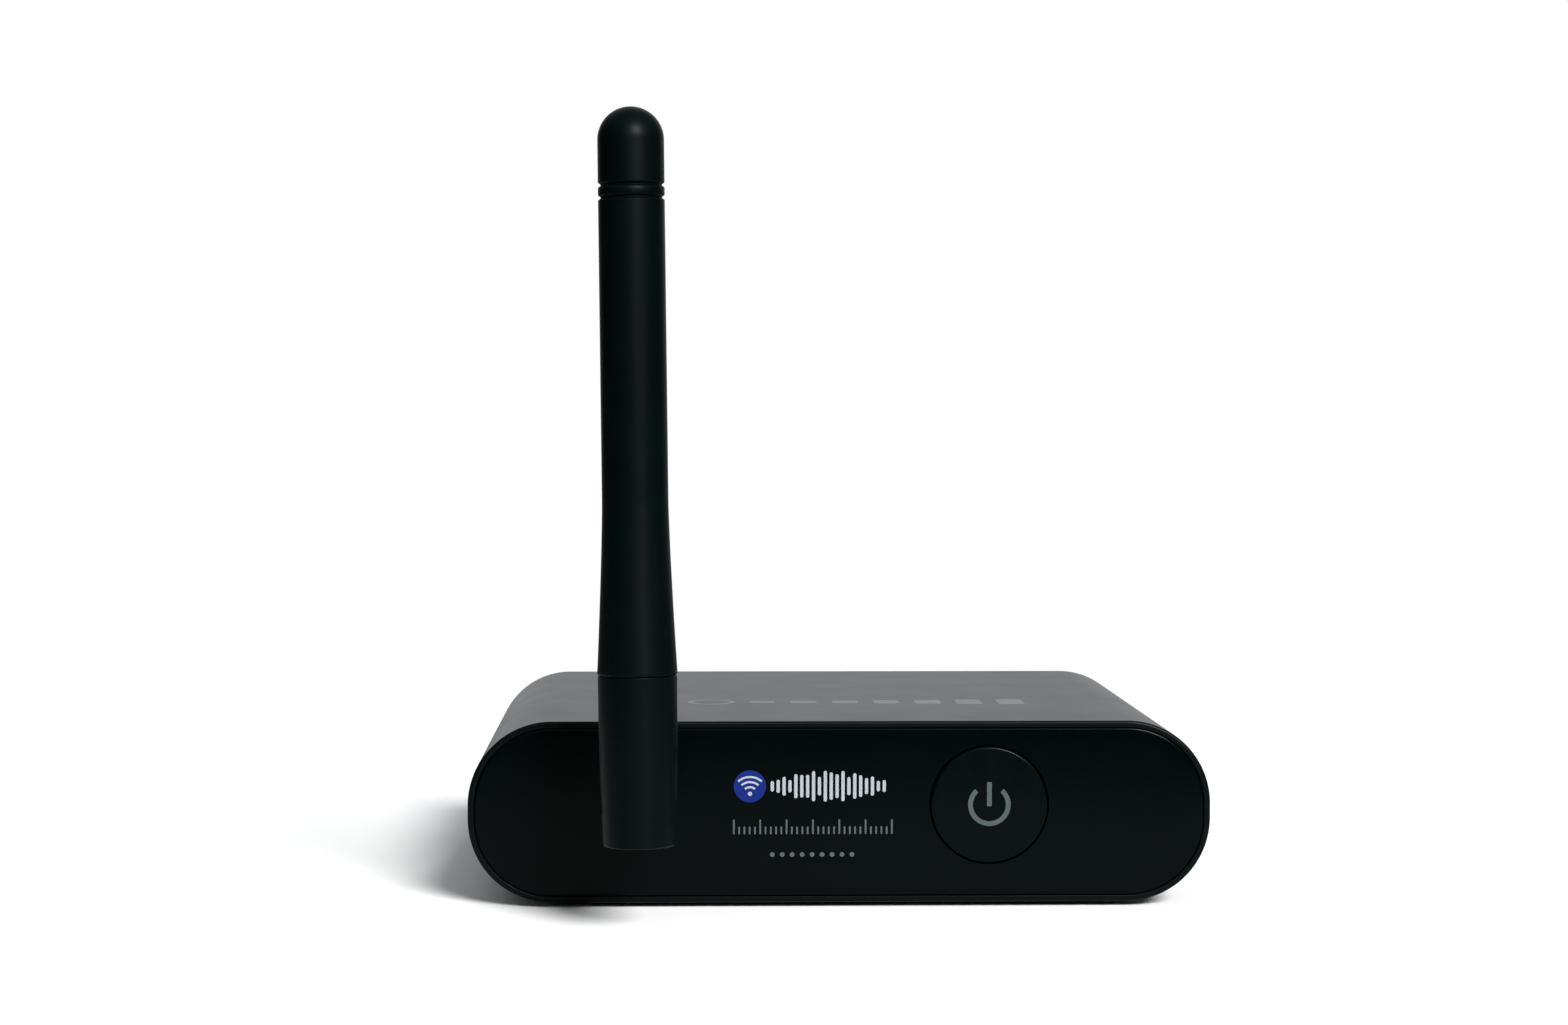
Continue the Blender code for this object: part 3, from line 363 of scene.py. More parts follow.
def finish(name, colour, roughness, ior=1.45, metallic=0.0, mottle=0.12, mottle_size=6.0,
           rough_spread=0.04, grain=0.3, depth=0.004, stretch=(1.0, 1.0, 1.0), clear=0.0):
    """A moulded, turned or plated surface: mottled colour, uneven gloss and a fine grain in relief."""
    material = bpy.data.materials.new(name)
    material.use_nodes = True
    tree = material.node_tree
    shader = tree.nodes["Principled BSDF"]
    dark = [c * (1 - mottle) for c in colour]
    pale = [min(1.0, c * (1 + mottle)) for c in colour]
    patches = spread(tree, noise(tree, mottle_size), 0.0, 1.0)
    link(tree, blended(tree, patches, dark, pale), shader.inputs["Base Color"])
    wear = noise(tree, mottle_size / 3, stretch=stretch)
    gloss = spread(tree, wear, roughness - rough_spread, roughness + rough_spread)
    link(tree, gloss, shader.inputs["Roughness"])
    fine = noise(tree, grain, detail=4.0, stretch=stretch)
    link(tree, bumped(tree, fine, depth), shader.inputs["Normal"])
    shader.inputs["IOR"].default_value = ior
    shader.inputs["Metallic"].default_value = metallic
    shader.inputs["Transmission Weight"].default_value = clear
    return material


MATERIALS = {
    "case_plastic": finish("case_satin_black", (0.0006, 0.0016, 0.0017), 0.34, ior=1.14, mottle_size=25.0,
                           rough_spread=0.01, grain=0.22, depth=0.0003),
    "panel_acrylic": finish("panel_gloss_black", (0.0002, 0.001, 0.001), 0.18, ior=1.13, mottle_size=20.0,
                            rough_spread=0.02, grain=2.5, depth=0.0003),
    "button_plastic": finish("button_smooth_black", (0.0002, 0.0012, 0.0012), 0.25, ior=1.14, grain=0.2,
                             depth=0.0005),
    "icon_plastic": finish("icon_grey", (0.038, 0.051, 0.052), 0.45, ior=1.3, mottle=0.05, grain=0.15,
                           depth=0.002),
    "carrier_plastic": finish("rear_textured_black", (0.006, 0.007, 0.0075), 0.55, ior=1.4, grain=0.35,
                              depth=0.03),
    "aerial_plastic": finish("aerial_soft_black", (0.0003, 0.0016, 0.0016), 0.42, ior=1.135, mottle=0.2,
                             mottle_size=9.0, rough_spread=0.02, grain=0.16, depth=0.004),
    "foot_rubber": finish("foot_rubber", (0.012, 0.012, 0.012), 0.85, ior=1.4, grain=0.25, depth=0.03),
    "board_laminate": finish("board_green", (0.012, 0.11, 0.05), 0.35, mottle=0.3, mottle_size=2.0, grain=0.6,
                             depth=0.02),
    "chip_epoxy": finish("chip_epoxy", (0.014, 0.014, 0.015), 0.55, grain=0.12, depth=0.008),
    "socket_plastic": finish("socket_black", (0.007, 0.007, 0.0075), 0.42, ior=1.42, grain=0.2, depth=0.008),
    "phono_white": finish("phono_white", (0.8, 0.79, 0.76), 0.32, mottle=0.03, grain=0.4, depth=0.004),
    "phono_red": finish("phono_red", (0.5, 0.012, 0.014), 0.32, mottle=0.06, grain=0.4, depth=0.004),
    "insulator": finish("insulator_white", (0.8, 0.79, 0.74), 0.4, mottle=0.03, grain=0.3, depth=0.005),
    "lens_red": finish("lens_red", (0.4, 0.01, 0.01), 0.12, mottle=0.1, grain=1.0, depth=0.001),
    "led_clear": finish("lamp_clear", (0.8, 0.85, 0.9), 0.08, mottle=0.02, grain=1.0, depth=0.001, clear=0.9),
    "cable_jacket": finish("cable_jacket", (0.015, 0.015, 0.015), 0.5, grain=0.3, depth=0.006),
    "nickel": finish("nickel_plate", (0.62, 0.6, 0.56), 0.2, metallic=1.0, mottle=0.05, grain=0.12,
                     depth=0.0015, stretch=(1.0, 12.0, 1.0)),
    "gold": finish("gold_plate", (0.86, 0.6, 0.24), 0.22, metallic=1.0, mottle=0.06, grain=0.12,
                   depth=0.0015),
    "brass": finish("turned_brass", (0.7, 0.5, 0.24), 0.32, metallic=1.0, mottle=0.1, grain=0.1,
                    depth=0.003),
    "tin": finish("tinned_steel", (0.66, 0.67, 0.68), 0.33, metallic=1.0, mottle=0.08, grain=0.25,
                  depth=0.003),
    "steel": finish("blackened_steel", (0.09, 0.09, 0.095), 0.36, metallic=1.0, mottle=0.15, grain=0.2,
                    depth=0.003),
}
INKS = {
    "blue": finish("ink_blue", (0.002, 0.0105, 0.098), 0.4, ior=1.2, mottle=0.06, grain=0.15, depth=0.002),
    "white": finish("ink_white", (0.235, 0.258, 0.275), 0.45, ior=1.3, mottle=0.03, grain=0.15, depth=0.002),
    "grey": finish("ink_grey", (0.045, 0.057, 0.058), 0.5, ior=1.3, mottle=0.06, grain=0.15, depth=0.002),
    "satin": finish("ink_satin_grey", (0.105, 0.109, 0.112), 0.5, ior=1.3, mottle=0.06, grain=0.2,
                    depth=0.001),
    "red": finish("ink_red", (0.45, 0.02, 0.02), 0.5, ior=1.3, mottle=0.06, grain=0.15, depth=0.002),
}


def stand_in(node, bm, slot, body="root", place=(0.0, 0.0, 0.0)):
    """The finer piece that takes the place of one CAD node, with the finish of its slot."""
    add_piece(f"{node}_fine", bm, MATERIALS[slot], body, place, stands_for=[node])


# ---------------------------------------------------------------- case
def make_sleeve():
    """The rounded sleeve with soft outer rims, and a seat for a panel inside each end."""
    soft, crisp = 0.35, 0.1
    profile = fillet([
        (0.0, 0.0, soft),
        (0.0, DEPTH, soft),
        (RIM, DEPTH, crisp),
        (RIM, REAR_SEAT),
        (WALL, REAR_SEAT),
        (WALL, FRONT_SEAT),
        (RIM, FRONT_SEAT),
        (RIM, 0.0, crisp),
    ])
    sleeve = loft([case_outline(inset, y) for inset, y in profile], closed=True)
    stand_in("case_sleeve", sleeve, "case_plastic")


def plate(face, back):
    """A plate that fills the case's rim, with a rounded edge round its face."""
    inner = PANEL_INSET + 2.0
    profile = fillet([(inner, face), (PANEL_INSET, face, PLATE_EDGE), (PANEL_INSET, back)])
    return loft([case_outline(inset, y) for inset, y in profile])


def countersunk(radius, face, back, bevel, segments=ROUND):
    """A cutter for a hole along Y, bevelled at its face and a millimetre too long each way."""
    outward = math.copysign(1.0, face - back)
    profile = [
        (radius + bevel + 1.0, face + outward),
        (radius, face - outward * bevel),
        (radius, back - outward),
    ]
    return turned(profile, segments, along="Y")


def make_front_panel():
    """The glossy plate with rounded edges, and softly bevelled holes for the button and the connector."""
    back, button_bevel, jack_gap, jack_bevel = PANEL_HIGH.y, 0.06, 0.2, 0.1
    button_hole = countersunk(BUTTON_RADIUS + BUTTON_GAP, 0.0, back, button_bevel, FINE)
    jack_hole = countersunk(THREAD_RADIUS + jack_gap, 0.0, back, jack_bevel)
    cuts = [moved(button_hole, *BUTTON), moved(jack_hole, *CONNECTOR)]
    panel = carved(plate(0.0, back), cuts=cuts)
    stand_in("front_panel", panel, "panel_acrylic")


def make_rear_panel():
    """The textured rear plate with its socket and screw holes."""
    gap, bevel, window_corner, screw_hole = 0.15, 0.1, 0.5, 1.25
    holes = {
        "phono_barrel_left": PHONO_RADIUS,
        "phono_barrel_right": PHONO_RADIUS,
        "power_jack_pin": SUPPLY_RADIUS,
        "rear_screw_left": screw_hole,
        "rear_screw_right": screw_hole,
    }
    cuts = []
    for node, radius in holes.items():
        hole = countersunk(radius + gap, DEPTH, REAR_LOW.y, bevel)
        cuts.append(moved(hole, *axis_place(node)))
    low, high = span("optical_body")
    window = rounded_rectangle(low.x - gap, low.z - gap, high.x + gap, high.z + gap, window_corner)
    cuts.append(prism(window, REAR_LOW.y - 1.0, DEPTH + 1.0))
    panel = carved(plate(DEPTH, REAR_LOW.y), cuts=cuts)
    stand_in("rear_panel", panel, "carrier_plastic")


def cross_recess(top):
    """Cutters for a tapered cross recess in a screw's head, whose top is at the height given."""
    # Each station: how far along, and the half length and half width of a groove there
    stations = ((top - 0.85, 0.7, 0.2), (top + 0.2, 1.35, 0.3))
    cutters = []
    for across in (False, True):
        rings = []
        for y, length, width in stations:
            x, z = (width, length) if across else (length, width)
            rings.append([(-x, y, -z), (x, y, -z), (x, y, z), (-x, y, z)])
        cutters.append(loft(rings))
    return cutters


def make_rear_screw(side):
    """A pan-head screw with a tapered cross recess."""
    head_radius, head_height, shank_radius, shank_length = 2.2, 1.3, 1.0, 8.5
    start = DEPTH + 0.05
    top = start + head_height
    profile = fillet([
        (shank_radius, start - shank_length),
        (shank_radius, start),
        (head_radius, start),
        (head_radius, start + 0.6, 0.4),
        (1.35, top, 0.8),
        (0.3, top),
    ])
    node = f"rear_screw_{side}"
    screw = carved(turned(profile, SMALL, along="Y"), cuts=cross_recess(top))
    stand_in(node, screw, "steel", "root", axis_place(node))


def make_foot(corner):
    """A round rubber foot with a soft edge and a shallow ring pressed into its underside."""
    node, groove_depth = f"foot_{corner}", 0.15
    low, high = span(node)
    place = (low + high) / 2
    radius = (high.x - low.x) / 2
    profile = fillet([
        (1.0, 0.0),
        (radius - 1.5, 0.0, 0.1),
        (radius - 1.35, groove_depth),
        (radius - 1.15, groove_depth),
        (radius - 1.0, 0.0, 0.1),
        (radius, 0.0, 0.22),
        (radius, high.z),
    ], steps=4)
    stand_in(node, turned(profile), "foot_rubber", "root", (place.x, place.y, 0.0))


# ---------------------------------------------------------------- button
# The power symbol's ring and bar, and the back of the cap's web that they are cut through
ICON_RADIUS, ICON_STROKE, ICON_GAP_DEG = 2.42, 0.62, 42.0
ICON_BAR_LOW, ICON_BAR_HIGH = -0.2, 2.9
WEB_BACK = 1.6


def icon_solids(grow, start, end):
    """The power symbol's open ring and bar, grown all round, between two Y planes."""
    half = ICON_STROKE / 2 + grow
    swing = math.degrees(grow / ICON_RADIUS)
    first, last = 90 + ICON_GAP_DEG - swing, 450 - ICON_GAP_DEG + swing
    ring = arc(ICON_RADIUS + half, first, last, 60) + arc(ICON_RADIUS - half, last, first, 60)
    bar = rounded_rectangle(-half, ICON_BAR_LOW - grow, half, ICON_BAR_HIGH + grow, 0.12, steps=3)
    return [prism(ring, start, end), prism(bar, start, end)]


def make_button_cap():
    """The round cap with a softly rounded edge and the symbol cut through it."""
    flange_start, flange_end = 9.05, 10.0
    flange_radius, skirt_inner = 8.5, 6.2
    profile = fillet([
        (4.4, BUTTON_FACE),
        (BUTTON_RADIUS, BUTTON_FACE, 0.32),
        (BUTTON_RADIUS, flange_start),
        (flange_radius, flange_start),
        (flange_radius, flange_end),
        (skirt_inner, flange_end),
        (skirt_inner, WEB_BACK),
    ], steps=6)
    icon_gap = 0.03
    icon = icon_solids(icon_gap, BUTTON_FACE - 1.0, WEB_BACK + 1.0)
    cap = carved(turned(profile, FINE, along="Y"), cuts=icon)
    stand_in("power_button", cap, "button_plastic", "button", BUTTON)


def make_button_symbol():
    """The light guide behind the cap, whose raised symbol fills the opening in it."""
    disc_radius, disc_start, disc_end, stem = 4.2, WEB_BACK + 0.05, WEB_BACK + 1.4, 1.5
    profile = [
        (disc_radius, disc_start),
        (disc_radius, disc_end),
        (stem + 1.0, disc_end),
        (stem, disc_end + 1.2),
        (stem, span("button_light_guide")[1].y),
    ]
    icon = icon_solids(0.0, BUTTON_FACE + 0.01, disc_start + 0.4)
    guide = carved(turned(profile, SMALL, along="Y"), joins=icon)
    add_piece("button_symbol_fine", guide, MATERIALS["icon_plastic"], "button", BUTTON,
              stands_for=["button_light_guide"])


# ---------------------------------------------------------------- aerial connector
def threaded(radius, depth, pitch, start, end, segments, steps=8):
    """Rings of a screw thread about the Z axis, fading out at both ends, with so many steps to a pitch."""
    count = round((end - start) / pitch * steps)
    rings = []
    for k in range(count + 1):
        height = start + (end - start) * k / count
        ring = []
        for i in range(segments):
            turn = i / segments
            phase = (height / pitch - turn) % 1.0
            flank = abs(2 * phase - 1)
            runout = min(1.0, (height - start) / pitch, (end - height) / pitch)
            reach = radius - depth * (1 - flank * max(0.0, runout))
            ring.append((reach * math.cos(math.tau * turn), reach * math.sin(math.tau * turn), height))
        rings.append(ring)
    return rings


def make_jack():
    """The gold-plated bulkhead jack with its real thread."""
    segments, carrier_seat, flange_thickness = 48, 2.05, 1.8
    flange_radius, tail_radius, tail_bore, socket_radius = 4.6, 1.9, 0.7, 2.3
    flange_start = span("front_carrier")[0].y + carrier_seat
    flange_end = flange_start + flange_thickness
    thread_end, tail_end = span("jack_barrel")[0].y, span("jack_barrel")[1].y
    outer = threaded(THREAD_RADIUS, THREAD_DEPTH, THREAD_PITCH, thread_end, flange_start, segments)
    rest = [
        (flange_radius, flange_start),
        (flange_radius, flange_end),
        (tail_radius, flange_end),
        (tail_radius, tail_end),
        (tail_bore, tail_end),
        (tail_bore, flange_end + 0.2),
        (socket_radius, flange_end - 0.8),
        (socket_radius, thread_end + 0.15),
        (socket_radius + 0.12, thread_end),
    ]
    rings = outer + [circle(radius, height, segments) for radius, height in rest]
    barrel = laid(loft(rings, closed=True), "Y")
    stand_in("jack_barrel", barrel, "gold", "root", CONNECTOR)


def polygon_ring(apothem, limit, height, per_side=10):
    """A hexagon's outline whose corners are turned down to a radius limit."""
    points = []
    for i in range(6 * per_side):
        angle = math.tau * i / (6 * per_side)
        off = (angle + math.pi / 6) % (math.pi / 3) - math.pi / 6
        reach = min(apothem / math.cos(off), limit)
        points.append((reach * math.cos(angle), reach * math.sin(angle), height))
    return points


def make_jack_nut():
    """The hexagon nut with chamfered corners on both faces."""
    low, high = span("jack_hex_nut")
    bore_radius = THREAD_RADIUS + 0.05
    apothem, step, steps = 4.0, 0.18, 4
    start = apothem - 0.1
    corner = apothem / math.cos(math.pi / 6)
    slope = math.tan(math.radians(30))
    rings = []
    for k in range(steps + 1):
        rings.append(polygon_ring(apothem, start + k * step, low.y + k * step * slope))
    rings.append(polygon_ring(apothem, corner, low.y + 0.8 * slope))
    for k in range(steps):
        rings.append(polygon_ring(apothem, corner - k * step, high.y - (steps - k) * step * slope))
    rings.append(polygon_ring(apothem, start, high.y))
    bore = turned([
        (THREAD_RADIUS + 0.6, low.y - 0.3),
        (bore_radius, low.y + 0.3),
        (bore_radius, high.y + 1.0),
    ], SMALL, along="Y")
    nut = carved(laid(loft(rings), "Y"), cuts=[bore])
    stand_in("jack_hex_nut", nut, "gold", "root", CONNECTOR)


def make_jack_washer():
    """The lock washer behind the nut, with notches between its teeth."""
    low, high = span("jack_lock_washer")
    outer, inner, teeth = (high.x - low.x) / 2, THREAD_RADIUS + 0.1, 14
    notch_low = (-0.28, low.y - 0.5, outer - 0.45)
    notch_high = (0.28, high.y + 0.5, outer + 1.0)
    ring = turned(fillet([
        (inner, low.y),
        (outer, low.y, 0.1),
        (outer, high.y, 0.1),
        (inner, high.y),
    ], steps=3), FINE, closed=True, along="Y")
    notches = []
    for i in range(teeth):
        notch = block(notch_low, notch_high)
        turn = Matrix.Rotation(math.tau * i / teeth, 4, "Y")
        bmesh.ops.transform(notch, matrix=turn, verts=notch.verts)
        notches.append(notch)
    washer = carved(ring, cuts=[gathered(notches)])
    stand_in("jack_lock_washer", washer, "nickel", "root", CONNECTOR)


def make_coupling_nut():
    """The plug's nut, with rounded moulded ribs between plain collars."""
    low, high = span("coupling_nut")
    radius, ribs, rib_depth, per_rib = 4.6, 22, 0.34, 8
    count = ribs * per_rib
    # Each station: how far along, how far in from the radius, and the share of the ribs' full depth
    stations = [(0.0, 0.62, 0.0), (0.12, 0.3, 0.0), (0.4, 0.12, 0.0), (0.9, 0.1, 0.0), (1.05, 0.0, 1.0)]
    length = high.y - low.y
    stations += [(length - at, inset, share) for at, inset, share in reversed(stations)]
    rings = []
    for at, inset, share in stations:
        ring = []
        for i in range(count):
            valley = (0.5 - 0.5 * math.cos(math.tau * i / per_rib)) ** 2
            reach = radius - inset - share * rib_depth * valley
            angle = math.tau * i / count
            ring.append((reach * math.cos(angle), reach * math.sin(angle), low.y + at))
        rings.append(ring)
    collar = span("nut_thread_insert")[0].y - 0.05
    plug_bore, insert_bore = 2.95, 3.95
    bore = turned([
        (plug_bore, low.y - 1.0),
        (plug_bore, collar),
        (insert_bore, collar),
        (insert_bore, high.y + 1.0),
    ], ROUND, along="Y")
    nut = carved(laid(loft(rings), "Y"), cuts=[bore])
    stand_in("coupling_nut", nut, "aerial_plastic", "coupling_nut", CONNECTOR)


def make_nut_insert():
    """The brass sleeve inside the coupling nut."""
    low, high = span("nut_thread_insert")
    inner, outer = THREAD_RADIUS + 0.1, 3.9
    insert = turned(fillet([
        (inner, low.y),
        (outer, low.y),
        (outer, high.y, 0.12),
        (inner, high.y, 0.2),
    ], steps=3), ROUND, closed=True, along="Y")
    stand_in("nut_thread_insert", insert, "brass", "coupling_nut", CONNECTOR)


# ---------------------------------------------------------------- aerial
def make_knuckle():
    """The elbow: a round barrel on the plug and the tongue that the aerial's fork straddles."""
    start, shoulder = span("aerial_knuckle")[1].y - HINGE.y, 4.95
    radius, groove, bore_radius = 4.6, 4.42, 2.85
    tongue_radius, tongue_half, pin_hole_radius = 2.6, 2.0, 1.05
    body = fillet([
        (3.0, start),
        (radius, start, 0.35),
        (radius, start - 1.3),
        (groove, start - 1.42),
        (groove, start - 1.62),
        (radius, start - 1.74),
        (radius, shoulder, 0.5),
        (2.0, shoulder),
    ])
    root = shoulder + 1.0
    outline = arc(tongue_radius, 90, 270, 32) + [(root, -tongue_radius), (root, tongue_radius)]
    tongue = prism(outline, -tongue_half, tongue_half, along="X")
    pin_hole = rod(pin_hole_radius, -2 * tongue_half, 2 * tongue_half, SMALL, along="X")
    bore = rod(bore_radius, span("plug_barrel")[0].y - HINGE.y - 0.1, start + 1.0)
    knuckle = carved(turned(body, ROUND, along="Y"), joins=[tongue], cuts=[pin_hole, bore])
    stand_in("aerial_knuckle", leaning(knuckle), "aerial_plastic", "knuckle", HINGE)


def make_aerial_base():
    """The lower shell: a forked foot about the hinge pin, slightly waisted, and a spigot up into the mast."""
    foot_radius, pin_hole_radius, cable_hole_radius = 4.42, 1.03, 1.1
    spigot_radius, spigot_top, top = 3.5, SEAM_HEIGHT + 5.9, SEAM_HEIGHT - 0.06
    body = fillet([
        (3.2, AERIAL_FOOT),
        (foot_radius, AERIAL_FOOT, 0.22),
        (foot_radius + 0.24, 3.5, 20.0),
        (SEAM_RADIUS - 0.09, 10.0, 20.0),
        (SEAM_RADIUS - 0.07, top, 0.12),
        (spigot_radius, top),
        (spigot_radius, spigot_top),
    ])
    slot_half, slot_reach, clear = 2.15, 2.9, 9.0
    # The foot's corner on the knuckle's side is rounded about the hinge pin
    outside = [(0.0, -clear), (clear, -clear), (clear, 0.0)] + arc(-AERIAL_FOOT, 0, -90, 32)
    cuts = [
        prism(outside, -clear, clear, along="X"),
        block((-slot_half, -slot_reach, -clear), (slot_half, clear, slot_reach)),
        rod(pin_hole_radius, -clear, clear, SMALL, along="X"),
        rod(cable_hole_radius, 0.0, spigot_top + 1.0, SMALL, along="Z"),
    ]
    base = carved(turned(body, FINE), cuts=cuts)
    stand_in("aerial_base", leaning(base), "aerial_plastic", "aerial", HINGE)


def make_hinge_pin():
    """The steel pin through the fork, with rounded ends."""
    low, high = span("hinge_pin")
    half, radius, flat = (high.x - low.x) / 2, 1.0, 0.4
    pin = fillet([(flat, -half), (radius, -half, 0.2), (radius, half, 0.2), (flat, half)])
    stand_in("hinge_pin", leaning(turned(pin, SMALL, along="X")), "steel", "aerial", HINGE)


def mast_radius(height):
    """The mast's flare: widest at the seam, straight from FLARE_TOP up."""
    share = min(1.0, max(0.0, (height - SEAM_HEIGHT) / (FLARE_TOP - SEAM_HEIGHT)))
    return MAST_RADIUS + (SEAM_RADIUS - MAST_RADIUS) * (1 - share) ** 1.35


def make_mast():
    """The moulded cover: flared foot, two rounded grooves and a round tip, hollow from below."""
    bore, spigot_bore, lip = 2.6, 3.6, 0.22
    flare_start, flare_steps = SEAM_HEIGHT + 0.4, 24
    profile = fillet([
        (bore, TIP_HEIGHT - 8.0),
        (bore, SEAM_HEIGHT + 7.0),
        (spigot_bore, SEAM_HEIGHT + 6.1),
        (spigot_bore, SEAM_HEIGHT),
        (SEAM_RADIUS, SEAM_HEIGHT, lip),
        (mast_radius(flare_start), flare_start),
    ], steps=6)
    for step in range(1, flare_steps + 1):
        height = flare_start + (FLARE_TOP - flare_start) * step / flare_steps
        profile.append((mast_radius(height), height))
    groove_half, groove_depth, groove_steps = 0.36, 0.32, 10
    for height in GROOVES:
        for step in range(groove_steps + 1):
            share = 2 * step / groove_steps - 1
            depth = groove_depth * (0.5 + 0.5 * math.cos(math.pi * share))
            profile.append((MAST_RADIUS - depth, height + share * groove_half))
    profile += arc(MAST_RADIUS, 0, 88, 24, centre=(0.0, TIP_HEIGHT - MAST_RADIUS))
    mast = leaning(turned(profile, FINE))
    stand_in("aerial_mast", mast, "aerial_plastic", "aerial", HINGE)


# ---------------------------------------------------------------- rear sockets
def make_phono_barrel(side, place):
    """A plated barrel with a rounded lip, turned down a little outside the rear panel."""
    low, high = span(f"phono_barrel_{side}")
    nose_radius, nose_length = PHONO_RADIUS - 0.12, 7.5
    barrel = turned(fillet([
        (PHONO_BORE, low.y),
        (PHONO_RADIUS, low.y),
        (PHONO_RADIUS, high.y - nose_length - 0.1, 0.1),
        (nose_radius, high.y - nose_length, 0.1),
        (nose_radius, high.y, 0.16),
        (PHONO_BORE, high.y, 0.1),
    ]), ROUND, closed=True, along="Y")
    stand_in(f"phono_barrel_{side}", barrel, "nickel", "root", place)


def make_phono_insert(side, place, colour):
    """The coloured insert in a phono barrel, stepped in towards the hole for its contact."""
    low, high = span(f"phono_barrel_{side}")[0], span(f"phono_insert_{side}")[1]
    radius, hole_radius, hole_end = PHONO_BORE - 0.05, 1.65, 71.0
    step = high.y - 0.18
    insert = turned(fillet([
        (radius, low.y),
        (radius, high.y, 0.2),
        (2.7, high.y),
        (2.35, step),
        (2.2, step),
        (hole_radius, step, 0.2),
        (hole_radius, hole_end),
    ]), ROUND, along="Y")
    stand_in(f"phono_insert_{side}", insert, colour, "root", place)


def make_phono_contact(side, place):
    """The tubular contact in the middle, split crosswise into four fingers."""
    low, high = span(f"phono_contact_{side}")
    inner, outer, slit_half, reach = 1.2, 1.55, 0.15, 2.0
    tube = turned(fillet([
        (inner, low.y),
        (outer, low.y),
        (outer, high.y, 0.1),
        (inner, high.y, 0.1),
    ]), SMALL, closed=True, along="Y")
    slits = []
    for x, z in ((slit_half, reach), (reach, slit_half)):
        slits.append(block((-x, low.y + 1.5, -z), (x, high.y + 1.0, z)))
    stand_in(f"phono_contact_{side}", carved(tube, cuts=slits), "tin", "root", place)


def make_phono_socket(side, colour):
    """One phono socket: its barrel, insert and contact on one axis."""
    place = axis_place(f"phono_barrel_{side}")
    make_phono_barrel(side, place)
    make_phono_insert(side, place, colour)
    make_phono_contact(side, place)


def make_power_jack_body(place):
    """The supply socket: a block inside the case and a round nose with a bevelled mouth."""
    low, high = span("power_jack_body")
    front = DEPTH - 2.2
    bore_radius, bore_end, bevel = 3.1, 66.4, 0.25
    pin_hole_radius, pin_hole_end = 1.05, 63.9
    body = block((low.x, low.y, low.z), (high.x, front, high.z))
    nose = turned(fillet([
        (SUPPLY_RADIUS, front - 2.0),
        (SUPPLY_RADIUS, high.y, 0.25),
        (2.0, high.y),
    ]), ROUND, along="Y")
    bore = turned([
        (pin_hole_radius, pin_hole_end),
        (pin_hole_radius, bore_end),
        (bore_radius, bore_end),
        (bore_radius, high.y - bevel),
        (bore_radius + bevel + 1.0, high.y + 1.0),
    ], ROUND, along="Y")
    socket = carved(body, joins=[moved(nose, *place)], cuts=[moved(bore, *place)])
    stand_in("power_jack_body", socket, "socket_plastic")


def make_power_jack_pin(place):
    """The round-nosed pin in the middle of the supply socket."""
    low, high = span("power_jack_pin")
    pin = turned(fillet([(1.0, low.y), (1.0, high.y, 0.5), (0.1, high.y)]), SMALL, along="Y")
    stand_in("power_jack_pin", pin, "nickel", "root", place)


def make_optical_body():
    """The optical output's housing, with a framed square mouth and room behind it for the shutter."""
    low, high = span("optical_body")
    mouth_top, ceiling, cavity_back, lip_start = 18.35, 19.45, 65.2, DEPTH - 0.25
    left, right = SHUTTER.x - OPTICAL_HALF, SHUTTER.x + OPTICAL_HALF
    inset = 0.15
    outline = rounded_rectangle(low.x, low.z, high.x, high.z, 0.45)
    face = rounded_rectangle(low.x + inset, low.z + inset, high.x - inset, high.z - inset, 0.4)
    stations = [(outline, low.y), (outline, high.y - inset), (face, high.y)]
    body = loft([[(x, y, z) for x, z in shape] for shape, y in stations])

    # The mouth's cutter widens at the face; each station is how far along, and how much wider
    mouth = []
    for y, more in ((lip_start - 0.5, 0.0), (high.y - 0.2, 0.0), (high.y, 0.2), (high.y + 1.0, 0.2)):
        shape = rounded_rectangle(left - more, OPTICAL_FLOOR - more, right + more, mouth_top + more,
                                  0.4 + more)
        mouth.append([(x, y, z) for x, z in shape])
    emitter_hole = rod(1.3, span("optical_emitter")[0].y - 0.2, cavity_back + 0.5, SMALL)
    cuts = [
        block((left, cavity_back, OPTICAL_FLOOR), (right, lip_start, ceiling)),
        loft(mouth),
        moved(rod(0.46, -4.6, 4.6, TINY, along="X"), *SHUTTER),
        moved(emitter_hole, *axis_place("optical_emitter")),
    ]
    stand_in("optical_body", carved(body, cuts=cuts), "socket_plastic")


def make_optical_emitter():
    """The red lens at the back of the optical socket."""
    low, high = span("optical_emitter")
    lens = turned(fillet([(1.2, low.y), (1.2, high.y, 0.6), (0.1, high.y)]), SMALL, along="Y")
    stand_in("optical_emitter", lens, "lens_red", "root", axis_place("optical_emitter"))


def make_optical_shutter():
    """The ribbed flap with its hinge rod, made about the axis that it swings on."""
    half, thickness, low, high = OPTICAL_HALF - 0.15, 0.35, OPTICAL_FLOOR + 0.2 - SHUTTER.z, 0.2
    ribs, rib_half, rib_height, rib_pitch = 5, 2.4, 0.35, 1.1
    flap = prism(rounded_rectangle(-half, low, half, high, 0.3), -thickness, thickness - 0.1)
    joins = [rod(0.4, -4.5, 4.5, TINY, along="X")]
    for k in range(ribs):
        z = low + 1.5 + k * rib_pitch
        joins.append(prism(rounded_rectangle(-rib_half, z, rib_half, z + rib_height, 0.12), 0.0, thickness))
    shutter = carved(flap, joins=joins)
    stand_in("optical_shutter", shutter, "socket_plastic", "shutter", SHUTTER)


# ---------------------------------------------------------------- printed marks
# How far the ink stands off its surface, and how far it reaches below it
INK = 0.015
SUNK = 0.01


